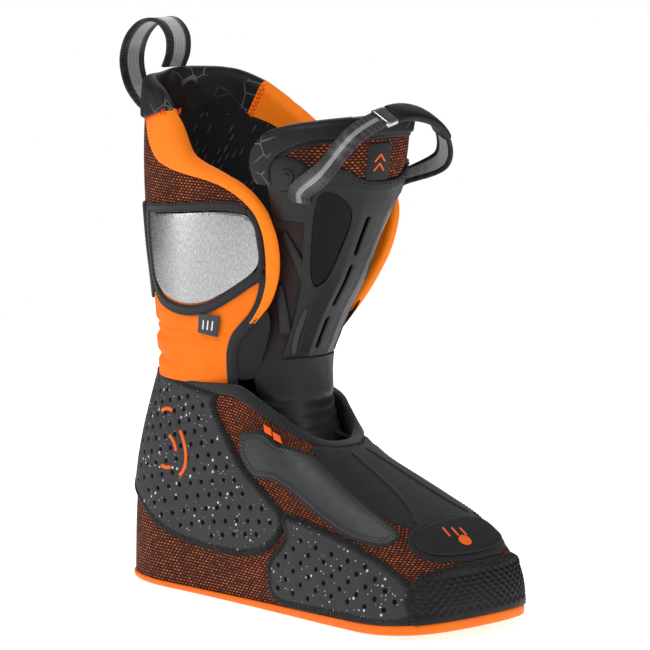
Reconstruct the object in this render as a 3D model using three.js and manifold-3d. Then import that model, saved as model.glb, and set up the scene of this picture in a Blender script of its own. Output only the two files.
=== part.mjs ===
// A right-foot ski-boot liner: the soft inner boot, with a walking cuff and a stiff tongue.
// Millimetres. +X towards the toe, +Y towards the wearer's left (the inner, medial side), +Z up.
// The origin is on the ground, below the back of the heel.
import * as THREE from 'three';
import Module from 'manifold-3d';

const wasm = await Module();
wasm.setup();

// ---- driving dimensions -------------------------------------------------------------------
const FOOT_LENGTH = 290;        // heel back to toe tip, outside
const BALL_X = 215;             // where the sole starts to lift towards the toe
const TOE_LIFT = 7;             // height of the sole's underside at the toe tip
const SOLE_HEEL = 4;            // height of the sole's edge at the heel
const SOLE_TOE = 6.5;           // and at the toe
const BOARD = 1.2;              // lasting board
const INSOLE = 3.5;             // footbed
const RECESS = 1.8;             // how deep the board lies in the sole
const GAP = 0.3;                // clearance between pieces that touch
const WALL = 9;                 // thickness of the padded wall, outer skin to lining
const THIN_WALL = 3.4;          // the same at the throat, where the tongue passes
const FLEX_Z = 177;             // bottom of the cuff's rigid part
const COLLAR_Z = 139.5;         // top of the foot's collar, with clearance
const TONGUE_Z = 153.5;         // bottom of the tongue's stiff part
const WEBBING = 2.2;            // thickness of the pull straps
const LOOP_WIDTH = 21;
const STRAP_WIDTH = 14;

// Layers of the wall as distances outwards from the shape's outer surface.
const SKIN = [-1.3, -0.5];      // textile or mesh skin
const OVERLAY = [-0.2, 1.0];    // panels sewn or welded on the skin
const FOAM_OUT = -1.6;          // outer face of the foam
const LINING = 0.8;             // thickness of the lining
const ROLL_OUT = 1.6;           // how far the padded rolls stand proud
const FLEX_SKIN = [-1.3, -0.3];
const FLEX_FOAM = [-5, FOAM_OUT];
const GUSSET_SKIN = [0.3, 1.1];
const TAG_LAYER = [1.4, 2.2];   // the size tag hangs over the panels
const TONGUE_FOAM_OUT = -1.3;
const TONGUE_SKIN = [-1.0, -0.4];
const TONGUE_TOP_LAYER = [-0.1, 1.0];
const FRAME_LAYER = [-0.1, 1.6];
const RIVET_LAYER = [-0.1, 1.8];
const BELLOWS_LAYER = [-4, -0.5];

// ---- the outer surfaces ---------------------------------------------------------------------
// Foot: stations from the heel back (0) along the outer, lateral side to the toe tip (9) and back
// along the medial side. Each gives the sole's edge, a point that pulls the wall, and the collar.
const STATIONS = [
  { sole: [-4, 0], wall: [-1, 0, 75], collar: [19, 0, 138] },
  { sole: [4, -25], wall: [6, -26, 75], collar: [25, -21, 137] },
  { sole: [32, -39], wall: [32, -40, 75], collar: [48, -36, 136] },
  { sole: [75, -41], wall: [73, -43, 75], collar: [80, -42, 136] },
  { sole: [118, -43], wall: [114, -44, 70], collar: [112, -41, 136] },
  { sole: [162, -46], wall: [158, -46, 62], collar: [134, -33, 124] },
  { sole: [205, -49], wall: [202, -48, 56], collar: [152, -22, 110] },
  { sole: [243, -49], wall: [240, -46, 52], collar: [159, -12, 104.5] },
  { sole: [273, -35], wall: [273, -34, 52], collar: [162, -4, 103] },
  { sole: [286, 2], wall: [286.5, 2, 54], collar: [163, 4, 103] },
  { sole: [280, 37], wall: [280.5, 36, 55], collar: [161, 11, 103.5] },
  { sole: [252, 51], wall: [251, 46.5, 53], collar: [157, 18, 105] },
  { sole: [207, 51], wall: [203, 44, 53], collar: [151, 26, 109] },
  { sole: [160, 40], wall: [157, 39, 60], collar: [138, 34, 117] },
  { sole: [118, 34], wall: [114, 40, 68], collar: [120, 41, 126] },
  { sole: [75, 34], wall: [73, 41, 75], collar: [82, 43, 135] },
  { sole: [32, 36], wall: [32, 40, 75], collar: [48, 37, 137] },
  { sole: [4, 24], wall: [6, 26, 75], collar: [25, 22, 138] },
];
const WALL_PULL = 1.9;          // weight of the wall point

// Cuff ovals by height: back, front, and half widths on the lateral and medial side.
const CUFF = [
  { z: 130, back: 20, front: 124, lateral: 42, medial: 42 },
  { z: 160, back: 19, front: 140, lateral: 44, medial: 46 },
  { z: 190, back: 15, front: 158, lateral: 46, medial: 52 },
  { z: 220, back: 11, front: 174, lateral: 49, medial: 58 },
  { z: 255, back: 9, front: 184, lateral: 52, medial: 62 },
  { z: 290, back: 9, front: 190, lateral: 53, medial: 60 },
  { z: 332, back: 13, front: 192, lateral: 53, medial: 57 },
];
const OVAL = 2.3;               // superellipse exponent of the cuff
const FLAP = 1.7;               // how much squarer the open medial flap is

// Tongue sections by height: front, half widths and how far the section reaches back.
const TONGUE = [
  { z: 100, front: 152, lateral: 27, medial: 28, depth: 22 },
  { z: 115, front: 146, lateral: 29, medial: 30, depth: 24 },
  { z: 130, front: 142, lateral: 30, medial: 32, depth: 26 },
  { z: 156, front: 143, lateral: 30, medial: 33, depth: 30 },
  { z: 181, front: 154, lateral: 29, medial: 35, depth: 34 },
  { z: 207, front: 170, lateral: 30, medial: 38, depth: 40 },
  { z: 232, front: 182, lateral: 35, medial: 42, depth: 46 },
  { z: 255, front: 193, lateral: 42, medial: 47, depth: 54 },
  { z: 277, front: 200, lateral: 49, medial: 49, depth: 62 },
  { z: 306, front: 204, lateral: 51, medial: 50, depth: 66 },
];
const TONGUE_OVAL = 2.2;

// The cuff's rim, [degrees from the back, height]: up the lateral front edge, over the spoiler,
// and down the medial front edge. Lateral angles are negative.
const RIM_LATERAL = [[-127, FLEX_Z], [-131.5, 190], [-132, 204], [-130.5, 216], [-128, 228], [-125, 238],
  [-120.5, 249], [-113.5, 259], [-105, 266], [-95, 270.5], [-86, 274], [-79, 279], [-75, 287], [-71, 296],
  [-67, 301.5]];
const RIM_BACK = [[-65, 305], [-61, 311], [-54, 318], [-44, 322], [-30, 324], [-12, 324], [0, 326],
  [20, 326], [42, 324], [58, 316]];
const RIM_MEDIAL = [[59, 315.2], [72, 303], [88, 287], [106, 273], [120, 260], [129, 243], [132, 222],
  [132, 203], [131, FLEX_Z]];
const ROLL_LATERAL = [[-122, FLEX_Z], [-125.5, 190], [-126, 202], [-124.5, 213], [-121.5, 230],
  [-119, 239], [-115.5, 247], [-109, 254.5], [-101, 260], [-90, 264], [-79, 266], [-69, 268.5],
  [-61, 272], [-55.5, 278], [-51.5, 285], [-48.5, 293.5]];
const SPOILER_LOW = [[-47.5, 297], [-40, 297], [-20, 297], [0, 297], [30, 297], [51, 295]];
const ROLL_MEDIAL = [[52, 294.2], [66, 287], [82, 273], [100, 260], [113, 247], [121, 234], [124, 220],
  [124, 203], [124, FLEX_Z]];

// The tongue's top edge, [side -1..1, height], and the line below its padded roll.
const TONGUE_TOP = [[-0.99, 266], [-0.96, 280], [-0.9, 291], [-0.76, 301], [-0.5, 305], [0, 307], [0.5, 305],
  [0.76, 300], [0.9, 290], [0.97, 276], [0.99, 264]];
const TONGUE_ROLL = [[-0.91, 265], [-0.88, 277], [-0.79, 286], [-0.6, 293], [-0.35, 295.5], [0, 296.5],
  [0.35, 295.5], [0.6, 292], [0.79, 285], [0.88, 275], [0.91, 263]];

// ---- curves -------------------------------------------------------------------------------------
const lerp = THREE.MathUtils.lerp;
const power = (x, n) => Math.abs(x) ** n;

/** A closed curve through the named points of the stations, read at any station number. */
function stationCurve(read) {
  const points = STATIONS.map((s) => new THREE.Vector3(...read(s)));
  const count = points.length;
  return (a) => {
    const i = Math.floor(a);
    const t = a - i;
    const [p, q, r, s] = [i - 1, i, i + 1, i + 2].map((k) => points[((k % count) + count) % count]);
    const hermite = (x, y, z, w) => y + 0.5 * t * (z - x + t * (2 * x - 5 * y + 4 * z - w
      + t * (3 * (y - z) + w - x)));
    return new THREE.Vector3(hermite(p.x, q.x, r.x, s.x), hermite(p.y, q.y, r.y, s.y),
      hermite(p.z, q.z, r.z, s.z));
  };
}

/** A row of a table at height z, with smooth slopes between its rows. */
function tableAt(rows, z) {
  const last = rows.length - 1;
  const height = THREE.MathUtils.clamp(z, rows[0].z, rows[last].z);
  const i = Math.min(rows.findLastIndex((row) => row.z <= height), last - 1);
  const span = rows[i + 1].z - rows[i].z;
  const t = (height - rows[i].z) / span;
  const slope = (k, name) => {
    const lo = Math.max(k - 1, 0);
    const hi = Math.min(k + 1, last);
    return (rows[hi][name] - rows[lo][name]) / (rows[hi].z - rows[lo].z);
  };
  const at = {};
  for (const name of Object.keys(rows[0])) {
    const blend = t * t * (3 - 2 * t);
    const slopes = (t ** 3 - 2 * t ** 2 + t) * slope(i, name) + (t ** 3 - t ** 2) * slope(i + 1, name);
    at[name] = lerp(rows[i][name], rows[i + 1][name], blend) + span * slopes;
  }
  return at;
}

const soleLift = (x) => TOE_LIFT * (Math.max(0, x - BALL_X) / (FOOT_LENGTH - 4 - BALL_X)) ** 2;
const soleEdge = (x) => lerp(SOLE_HEEL, SOLE_TOE, THREE.MathUtils.smoothstep(x, 60, 260));
const soleCurve = stationCurve((s) => [...s.sole, 0]);
const wallCurve = stationCurve((s) => s.wall);
const collarCurve = stationCurve((s) => s.collar);

function footPoint(a, t) {
  const sole = soleCurve(a);
  sole.z = soleLift(sole.x) + soleEdge(sole.x);
  const weights = [(1 - t) ** 2, 2 * t * (1 - t) * WALL_PULL, t ** 2];
  const total = weights[0] + weights[1] + weights[2];
  return sole.multiplyScalar(weights[0]).addScaledVector(wallCurve(a), weights[1])
    .addScaledVector(collarCurve(a), weights[2]).divideScalar(total);
}

function cuffPoint(degrees, z) {
  const row = tableAt(CUFF, z);
  const angle = THREE.MathUtils.degToRad(degrees);
  const [c, s] = [Math.cos(angle), Math.sin(angle)];
  const flap = THREE.MathUtils.smoothstep(degrees, 70, 120) * THREE.MathUtils.smoothstep(z, 150, 200);
  const n = OVAL + FLAP * flap;
  const k = (power(c, n) + power(s, n)) ** (-1 / n);
  const half = lerp(row.lateral, row.medial, (1 + s) / 2);
  return new THREE.Vector3((row.back + row.front) / 2 - (row.front - row.back) / 2 * k * c, half * k * s, z);
}

function tonguePoint(side, z) {
  const row = tableAt(TONGUE, z);
  const angle = side * Math.PI / 2;
  const [c, s] = [Math.cos(angle), Math.sin(angle)];
  const k = (power(c, TONGUE_OVAL) + power(s, TONGUE_OVAL)) ** (-1 / TONGUE_OVAL);
  const half = lerp(row.lateral, row.medial, (1 + s) / 2);
  return new THREE.Vector3(row.front - row.depth + row.depth * k * c, half * k * s, z);
}

const steps = (from, to, count) => Array.from({ length: count + 1 }, (_, i) => lerp(from, to, i / count));

/** A surface with its grid lines. Every piece on it is cut from the same facets, so layers never cross. */
function makeSurface(point, as, bs, normalSign, period = null, flatBottom = false) {
  const cache = new Map();
  const node = (a, b) => {
    const key = `${a.toFixed(4)},${b.toFixed(4)}`;
    if (!cache.has(key)) {
      const e = 1e-3;
      const scale = bs[bs.length - 1] - bs[0];
      const da = point(a + e, b).sub(point(a - e, b));
      const db = point(a, Math.min(b + e * scale, bs[bs.length - 1]))
        .sub(point(a, Math.max(b - e * scale, bs[0])));
      const normal = da.cross(db).multiplyScalar(normalSign);
      if (flatBottom && b === bs[0]) normal.z = 0;
      cache.set(key, { point: point(a, b), normal: normal.normalize() });
    }
    return cache.get(key);
  };
  return { node, as, bs, period };
}

const STATION_COUNT = STATIONS.length;
const TOE = STATION_COUNT / 2;
const foot = makeSurface(footPoint, steps(-TOE, STATION_COUNT + TOE, 3 * STATION_COUNT),
  [0, 0.14, 0.32, 0.52, 0.76, 1], 1, STATION_COUNT, true);
const cuff = makeSurface(cuffPoint, steps(-140, 140, 20), [137, 158, FLEX_Z, 204, 232, 260, 292, 330], -1);
const tongue = makeSurface(tonguePoint, steps(-1, 1, 8), [100, 118, 136, 153, 184, 215, 246, 277, 308], 1);

// ---- cutting a piece from a surface -----------------------------------------------------------
/** Splits a simple polygon by the line where the given coordinate equals `at`. */
function splitPolygon(polygon, axis, at) {
  const ring = [];
  const sideOf = (p) => (p[axis] < at ? -1 : 1);
  polygon.forEach((p, i) => {
    const q = polygon[(i + 1) % polygon.length];
    ring.push({ p, side: sideOf(p) });
    if (sideOf(p) !== sideOf(q)) {
      const t = (at - p[axis]) / (q[axis] - p[axis]);
      const cross = [lerp(p[0], q[0], t), lerp(p[1], q[1], t)];
      cross[axis] = at;
      ring.push({ p: cross, side: 0 });
    }
  });
  const crossings = ring.filter((r) => r.side === 0).sort((x, y) => x.p[1 - axis] - y.p[1 - axis]);
  crossings.forEach((r, i) => { r.partner = crossings[i ^ 1]; });
  const parts = { low: [], high: [] };
  const used = new Set();
  for (const start of ring) {
    if (start.side === 0 || used.has(start)) continue;
    const part = [];
    let r = start;
    do {
      part.push(r.p);
      if (r.side === 0) {
        r = r.partner;
        part.push(r.p);
      } else {
        used.add(r);
      }
      r = ring[(ring.indexOf(r) + 1) % ring.length];
    } while (r !== start);
    parts[start.side < 0 ? 'low' : 'high'].push(part);
  }
  return parts;
}

/** Cuts polygons into the strips between grid lines. Corners on a line are moved off it first. */
function cutIntoStrips(polygons, axis, lines) {
  const strips = [];
  let rest = polygons;
  for (let i = 1; i < lines.length; i++) {
    const here = [];
    const beyond = [];
    for (const polygon of rest) {
      const { low, high } = i < lines.length - 1 ? splitPolygon(polygon, axis, lines[i])
        : { low: [polygon], high: [] };
      here.push(...low);
      beyond.push(...high);
    }
    here.forEach((polygon) => strips.push({ index: i - 1, polygon }));
    rest = beyond;
  }
  return strips;
}

function offTheLines(outline, surface) {
  const shift = (x, lines) => (lines.slice(1, -1).some((line) => Math.abs(line - x) < 1e-6)
    ? x + (lines[1] - lines[0]) * 2e-3 : x);
  return outline.map(([a, b]) => [shift(a, surface.as), shift(b, surface.bs)]);
}

/** The part of a convex polygon on one side of the line from (0,0) to (1,1). */
function clipByDiagonal(polygon, keep) {
  const distance = ([x, y]) => keep * (y - x);
  return polygon.flatMap((p, i) => {
    const q = polygon[(i + 1) % polygon.length];
    const [d, e] = [distance(p), distance(q)];
    const out = d >= -1e-9 ? [p] : [];
    if ((d > 1e-9 && e < -1e-9) || (d < -1e-9 && e > 1e-9)) {
      const t = d / (d - e);
      out.push([lerp(p[0], q[0], t), lerp(p[1], q[1], t)]);
    }
    return out;
  });
}

const depth = (layer, a, b) => (typeof layer === 'function' ? layer(a, b) : layer);

/** One closed piece: the surface inside the outline, between two depths along its normals. */
function piece(surface, outline, inner, outer) {
  const keys = new Map();
  const [inside, outside] = [[], []];
  const triangles = [];
  const vertex = (a, b, corners, weights) => {
    const wrapped = surface.period ? ((a % surface.period) + surface.period) % surface.period : a;
    const [ka, kb] = [Math.round(wrapped * 1e4), Math.round(b * 1e4)];
    const key = `${surface.period && ka === surface.period * 1e4 ? 0 : ka},${kb}`;
    if (!keys.has(key)) {
      keys.set(key, inside.length);
      const place = (layer) => corners.reduce((sum, [ca, cb], i) => {
        const { point, normal } = surface.node(ca, cb);
        return sum.addScaledVector(point, weights[i])
          .addScaledVector(normal, weights[i] * depth(layer, ca, cb));
      }, new THREE.Vector3());
      inside.push(place(inner));
      outside.push(place(outer));
    }
    return keys.get(key);
  };
  const addFan = (polygon, cell) => {
    const [a0, a1, b0, b1] = cell;
    for (const keep of [1, -1]) {
      const corners = keep > 0 ? [[a0, b0], [a1, b1], [a0, b1]] : [[a0, b0], [a1, b0], [a1, b1]];
      const fan = clipByDiagonal(polygon, keep).map(([x, y]) => {
        const weights = keep > 0 ? [1 - y, x, y - x] : [1 - x, x - y, y];
        return vertex(lerp(a0, a1, x), lerp(b0, b1, y), corners, weights);
      });
      for (let i = 2; i < fan.length; i++) {
        const triangle = [fan[0], fan[i - 1], fan[i]];
        if (new Set(triangle).size === 3) triangles.push(triangle);
      }
    }
  };
  for (const column of cutIntoStrips([offTheLines(outline, surface)], 0, surface.as)) {
    for (const row of cutIntoStrips([column.polygon], 1, surface.bs)) {
      const cell = [surface.as[column.index], surface.as[column.index + 1], surface.bs[row.index],
        surface.bs[row.index + 1]];
      const local = row.polygon.map(([a, b]) => [(a - cell[0]) / (cell[1] - cell[0]),
        (b - cell[2]) / (cell[3] - cell[2])]);
      const contour = local.map(([x, y]) => new THREE.Vector2(x, y));
      const faces = THREE.ShapeUtils.triangulateShape(contour, []);
      for (const face of faces) {
        const corner = face.map((i) => local[i]);
        const area = (corner[1][0] - corner[0][0]) * (corner[2][1] - corner[0][1])
          - (corner[2][0] - corner[0][0]) * (corner[1][1] - corner[0][1]);
        addFan(area > 0 ? corner : corner.reverse(), cell);
      }
    }
  }
  return closedBody(inside, outside, triangles);
}

/** Joins two matching sheets into a closed body, with walls along the edges used once. */
function closedBody(inside, outside, triangles) {
  const count = inside.length;
  const edges = new Map();
  const index = [];
  for (const [a, b, c] of triangles) {
    index.push(a + count, b + count, c + count, a, c, b);
    [[a, b], [b, c], [c, a]].forEach(([p, q]) => edges.set(`${p},${q}`, [p, q]));
  }
  for (const [p, q] of edges.values()) {
    if (!edges.has(`${q},${p}`)) index.push(p, q, q + count, p, q + count, p + count);
  }
  const positions = [...inside, ...outside].flatMap((v) => [v.x, v.y, v.z]);
  const geometry = new THREE.BufferGeometry();
  geometry.setAttribute('position', new THREE.Float32BufferAttribute(positions, 3));
  geometry.setIndex(index);
  if (signedVolume(geometry) < 0) {
    for (let i = 0; i < index.length; i += 3) [index[i], index[i + 1]] = [index[i + 1], index[i]];
    geometry.setIndex(index);
  }
  return geometry;
}

function signedVolume(geometry) {
  const position = geometry.getAttribute('position');
  const index = geometry.getIndex().array;
  const corner = (i) => new THREE.Vector3().fromBufferAttribute(position, index[i]);
  let volume = 0;
  for (let i = 0; i < index.length; i += 3) {
    volume += corner(i).dot(corner(i + 1).cross(corner(i + 2))) / 6;
  }
  return volume;
}

// ---- outlines ---------------------------------------------------------------------------------------
const mirrored = (outline) => outline.map(([a, b]) => [-a, b]);
const stations = (outline) => outline.map(([u, t]) => [u * STATION_COUNT, t]);

/** A line moved to its left by a distance in mm. `perMm` is how much the first number grows in 1 mm. */
function offsetLine(line, distance, perMm) {
  return line.map(([a, b], i) => {
    const [p, q] = [line[Math.max(i - 1, 0)], line[Math.min(i + 1, line.length - 1)]];
    const [dx, dy] = [(q[0] - p[0]) / perMm, q[1] - p[1]];
    const length = Math.hypot(dx, dy);
    return [a - dy / length * distance * perMm, b + dx / length * distance];
  });
}

const DEGREE_PER_MM = 1.05;
const SIDE_PER_MM = 1 / 62;
const bandAlong = (line, half, perMm) => [...offsetLine(line, half, perMm),
  ...offsetLine(line, -half, perMm).reverse()];
const between = (outer, inner, perMm) => [...outer, ...offsetLine(inner, 2 * GAP, perMm).reverse()];

/** A shape drawn with three.js curves, as [a, b] points. */
function rounded([a0, a1], [b0, b1], [ra, rb], corners = 3) {
  const points = [];
  const centres = [[a1 - ra, b1 - rb], [a0 + ra, b1 - rb], [a0 + ra, b0 + rb], [a1 - ra, b0 + rb]];
  centres.forEach(([ca, cb], quarter) => {
    for (let i = 0; i <= corners; i++) {
      const angle = (quarter + i / corners) * Math.PI / 2;
      points.push([ca + ra * Math.cos(angle), cb + rb * Math.sin(angle)]);
    }
  });
  return points;
}

const ANKLE = stations([[0.035, 0.96], [0.18, 0.955], [0.19, 0.93], [0.21, 0.81], [0.232, 0.67],
  [0.258, 0.57], [0.272, 0.5], [0.27, 0.34], [0.25, 0.2], [0.218, 0.16], [0.135, 0.16], [0.11, 0.23],
  [0.06, 0.34], [0.035, 0.45]]);
const FOREFOOT = stations([[0.279, 0.47], [0.311, 0.49], [0.351, 0.46], [0.39, 0.36], [0.414, 0.21],
  [0.418, 0.13], [0.412, 0.02], [0.338, 0.02], [0.268, 0.02], [0.262, 0.1], [0.262, 0.17], [0.279, 0.33]]);
const INSTEP = stations([[0.233, 0.85], [0.26, 0.89], [0.299, 0.9], [0.335, 0.92], [0.368, 0.87],
  [0.404, 0.75], [0.424, 0.61], [0.411, 0.53], [0.39, 0.51], [0.354, 0.54], [0.322, 0.62], [0.297, 0.69],
  [0.272, 0.7], [0.247, 0.68], [0.233, 0.73]]);
const GUSSET = stations([[0.36, 0.955], [0.64, 0.955], [0.62, 0.87], [0.59, 0.75], [0.57, 0.66], [0.43, 0.66],
  [0.41, 0.75], [0.38, 0.87]]);
const TOE_CAP = stations([[0.425, 0.02], [0.575, 0.02], [0.583, 0.11], [0.57, 0.22], [0.545, 0.28],
  [0.455, 0.28], [0.43, 0.22], [0.417, 0.11]]);
const PATCH = stations([[0.446, 0.58], [0.47, 0.63], [0.53, 0.63], [0.554, 0.58], [0.555, 0.46], [0.535, 0.4],
  [0.5, 0.385], [0.465, 0.4], [0.445, 0.46]]);
const LACE_TAB = stations(rounded([0.268, 0.292], [0.925, 0.965], [0.004, 0.008], 2));
const SEAM = 0.25;              // where the closed rings start, between two grid lines
const ring = (low, high) => [[SEAM, low], [STATION_COUNT + SEAM, low], [STATION_COUNT + SEAM, high],
  [SEAM, high]];

const PANEL = [[-52, 238], [-60, 239], [-73, 241], [-88, 243.5], [-101, 245.5], [-110, 243.5],
  [-115, 237], [-117.5, 226], [-118.5, 214], [-116, 207], [-110, 200], [-103, 194], [-94, 189],
  [-84, 186.5], [-74, 186.5], [-64, 189], [-56, 196], [-52, 206]];
const UPPER_BINDING = [[-52, 242], [-60, 243], [-73, 245], [-88, 247.5], [-101, 249.5]];
const LOWER_BINDING = [[-52, 190], [-58, 185], [-66, 182], [-76, 180.5], [-87, 181.5], [-98, 186],
  [-109, 194.5], [-117, 203]];
const SPINE = rounded([-46, 46], [183, 243], [10, 12]);
const FLEX = [[-126, FLEX_Z - 1], [-118, 163], [-119, 150], [-124, COLLAR_Z], [124, COLLAR_Z], [120, 150],
  [119, 163], [126, FLEX_Z - 1]];

// ---- thickness of the padded walls ------------------------------------------------------------------
const smooth = THREE.MathUtils.smoothstep;
const footWall = (a, t) => {
  const aroundToe = Math.abs(((a + TOE) % STATION_COUNT + STATION_COUNT) % STATION_COUNT - TOE);
  return lerp(WALL, THIN_WALL, smooth(aroundToe, 3, 5) * smooth(t, 0.5, 0.95));
};
const cuffWall = (degrees) => lerp(WALL + 1, 5, smooth(Math.abs(degrees), 80, 112));
const footInner = (a, t) => -footWall(a, t);
const cuffInner = (a, z) => -cuffWall(a, z);
const TONGUE_WALL = 9;
const tongueInner = (side, z) => -lerp(4.5, TONGUE_WALL, smooth(1 - Math.abs(side), 0, 0.5));
const above = (layer, distance) => (a, b) => layer(a, b) + distance;

// ---- materials ----------------------------------------------------------------------------------------
const colours = {
  orange: [0xf47a10, 0.75], mesh: [0x3a1c16, 0.85], grey: [0x4a4a4c, 0.85], smoothGrey: [0x5e5f60, 0.5],
  black: [0x2a2a2b, 0.8], silver: [0xc0c0c0, 0.45], lining: [0x222223, 0.9], plastic: [0x303133, 0.45],
  gloss: [0x0c0c0d, 0.12], foam: [0x38383a, 0.95], webbing: [0x3a3a3a, 0.7], board: [0xb9b4a8, 0.9],
};
const boot = new THREE.Group();

/** Puts a named piece into a group with its own material. */
function add(group, name, geometry, colour, metalness = 0) {
  const [color, roughness] = colours[colour];
  const mesh = new THREE.Mesh(geometry, new THREE.MeshStandardMaterial({ color, roughness, metalness }));
  mesh.name = name;
  group.add(mesh);
  return mesh;
}

function addPair(group, name, surface, outline, layers, colour, metalness = 0) {
  add(group, `lateral_${name}`, piece(surface, outline, ...layers), colour, metalness);
  add(group, `medial_${name}`, piece(surface, mirrored(outline), ...layers), colour, metalness);
}

// ---- the sole ------------------------------------------------------------------------------------------
const SOLE_SECTIONS = steps(8, 270, 15);

/** A plate with the sole's outline moved in by `inset`, between two heights above its underside. */
function solePlate(inset, low, high) {
  const edge = steps(0, STATION_COUNT, STATION_COUNT * 2).slice(0, -1).map((a) => {
    const e = 1e-3;
    const along = soleCurve(a + e).sub(soleCurve(a - e)).normalize();
    const p = soleCurve(a);
    return { x: p.x - along.y * inset, y: p.y + along.x * inset };
  });
  const middle = edge.length / 2;
  const sides = [edge.slice(0, middle + 1), [...edge.slice(middle), edge[0]].reverse()];
  const across = (side, x) => {
    const i = side.findIndex((p) => p.x > x);
    return lerp(side[i - 1].y, side[i].y, (x - side[i - 1].x) / (side[i].x - side[i - 1].x));
  };
  const spots = [edge[0]];
  SOLE_SECTIONS.forEach((x) => sides.forEach((side) => spots.push({ x, y: across(side, x) })));
  spots.push(edge[middle]);
  const raise = (layer) => spots.map(({ x, y }) => new THREE.Vector3(x, y, soleLift(x) + layer(x)));
  const triangles = [[0, 1, 2]];
  for (let k = 1; k < spots.length - 3; k += 2) triangles.push([k, k + 2, k + 3], [k, k + 3, k + 1]);
  triangles.push([spots.length - 3, spots.length - 1, spots.length - 2]);
  return closedBody(raise(low), raise(high), triangles);
}

function toManifold(geometry) {
  const mesh = new wasm.Mesh({
    numProp: 3,
    vertProperties: new Float32Array(geometry.getAttribute('position').array),
    triVerts: new Uint32Array(geometry.getIndex().array),
  });
  return new wasm.Manifold(mesh);
}

function fromManifold(solid) {
  const { vertProperties, triVerts } = solid.getMesh();
  const geometry = new THREE.BufferGeometry();
  geometry.setAttribute('position', new THREE.Float32BufferAttribute(vertProperties, 3));
  geometry.setIndex([...triVerts]);
  return geometry;
}

function addSole(group) {
  const slab = solePlate(-0.4, () => 0, (x) => soleEdge(x) - GAP);
  const recess = solePlate(1.5, (x) => soleEdge(x) - RECESS, (x) => soleEdge(x) + 1);
  add(group, 'outsole', fromManifold(toManifold(slab).subtract(toManifold(recess))), 'orange');
  const boardLow = (x) => soleEdge(x) - RECESS + GAP;
  add(group, 'lasting_board', solePlate(1.9, boardLow, (x) => boardLow(x) + BOARD), 'board');
  add(group, 'insole', solePlate(WALL + 2, soleEdge, (x) => soleEdge(x) + INSOLE), 'grey');
}

// ---- the foot --------------------------------------------------------------------------------------------
function addFoot(group) {
  const whole = ring(0, 1);
  add(group, 'foot_lining', piece(foot, whole, footInner, above(footInner, LINING)), 'lining');
  add(group, 'foot_foam', piece(foot, whole, above(footInner, LINING + GAP), FOAM_OUT), 'foam');
  add(group, 'upper_mesh', piece(foot, whole, ...SKIN), 'mesh');
  add(group, 'collar_binding', piece(foot, ring(0.972, 1), ...OVERLAY), 'black');
  addPair(group, 'ankle_panel', foot, ANKLE, OVERLAY, 'grey');
  addPair(group, 'forefoot_panel', foot, FOREFOOT, OVERLAY, 'grey');
  addPair(group, 'instep_overlay', foot, INSTEP, OVERLAY, 'smoothGrey');
  addPair(group, 'lace_tab', foot, LACE_TAB, OVERLAY, 'orange');
  add(group, 'instep_gusset', piece(foot, GUSSET, ...OVERLAY), 'black');
  add(group, 'toe_cap', piece(foot, TOE_CAP, ...OVERLAY), 'black');
  add(group, 'toe_patch', piece(foot, PATCH, ...OVERLAY), 'plastic');
}

/** The stretch zone between foot and cuff, which bends as the cuff swings. */
function addFlexZone(group) {
  add(group, 'flex_sleeve', piece(cuff, FLEX, ...FLEX_SKIN), 'orange');
  add(group, 'flex_foam', piece(cuff, FLEX, ...FLEX_FOAM), 'foam');
  const gusset = [[-137, 143], [-137, 168], [-128, 172], [-128, 143]];
  addPair(group, 'ankle_gusset', cuff, gusset, GUSSET_SKIN, 'black');
  const bellows = rounded([-0.88, 0.88], [105, TONGUE_Z - 2], [0.1, 5]);
  add(group, 'tongue_bellows', piece(tongue, bellows, ...BELLOWS_LAYER), 'black');
}

// ---- the cuff --------------------------------------------------------------------------------------------
function addCuff(group) {
  const wall = [...ROLL_LATERAL, ...SPOILER_LOW, ...ROLL_MEDIAL];
  add(group, 'cuff_lining', piece(cuff, wall, cuffInner, above(cuffInner, LINING)), 'lining');
  add(group, 'cuff_foam', piece(cuff, wall, above(cuffInner, LINING + GAP), FOAM_OUT), 'foam');
  add(group, 'cuff_textile', piece(cuff, wall, ...SKIN), 'mesh');
  const roll = [cuffInner, ROLL_OUT];
  add(group, 'rear_spoiler', piece(cuff, between(RIM_BACK, SPOILER_LOW, DEGREE_PER_MM), ...roll), 'black');
  add(group, 'lateral_collar_roll', piece(cuff, between(RIM_LATERAL, ROLL_LATERAL, DEGREE_PER_MM), ...roll),
    'orange');
  add(group, 'medial_collar_roll', piece(cuff, between(RIM_MEDIAL, ROLL_MEDIAL, DEGREE_PER_MM), ...roll),
    'orange');
  addPair(group, 'reflective_panel', cuff, PANEL, OVERLAY, 'silver', 0.3);
  addPair(group, 'upper_binding', cuff, bandAlong(UPPER_BINDING, 1.6, DEGREE_PER_MM), OVERLAY, 'black');
  addPair(group, 'lower_binding', cuff, bandAlong(LOWER_BINDING, 1.8, DEGREE_PER_MM), OVERLAY, 'black');
  add(group, 'rear_spine', piece(cuff, SPINE, ...OVERLAY), 'black');
}

// ---- the tongue ------------------------------------------------------------------------------------------
const FRAME_HALF = [[0.12, 266], [0.3, 270], [0.45, 275], [0.56, 268], [0.56, 250], [0.34, 242], [0.26, 228],
  [0.26, 206], [0.34, 199], [0.7, 216], [0.75, 206], [0.42, 182], [0.3, 170], [0.34, 157]];
const WINDOW = [[0.28, 190], [0.28, 246], [0.5, 252], [0.66, 240], [0.7, 212], [0.5, 188]];
const RIVET = [-0.76, 272];
const RIVET_RADIUS = 5;
const ANCHOR = [[-0.84, -0.61], [244, 262]];
const STRAP_FOOT = [0.68, 256];
const mirrorLine = (line) => [...line.map(([a, b]) => [-a, b]).reverse(), ...line];

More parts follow.
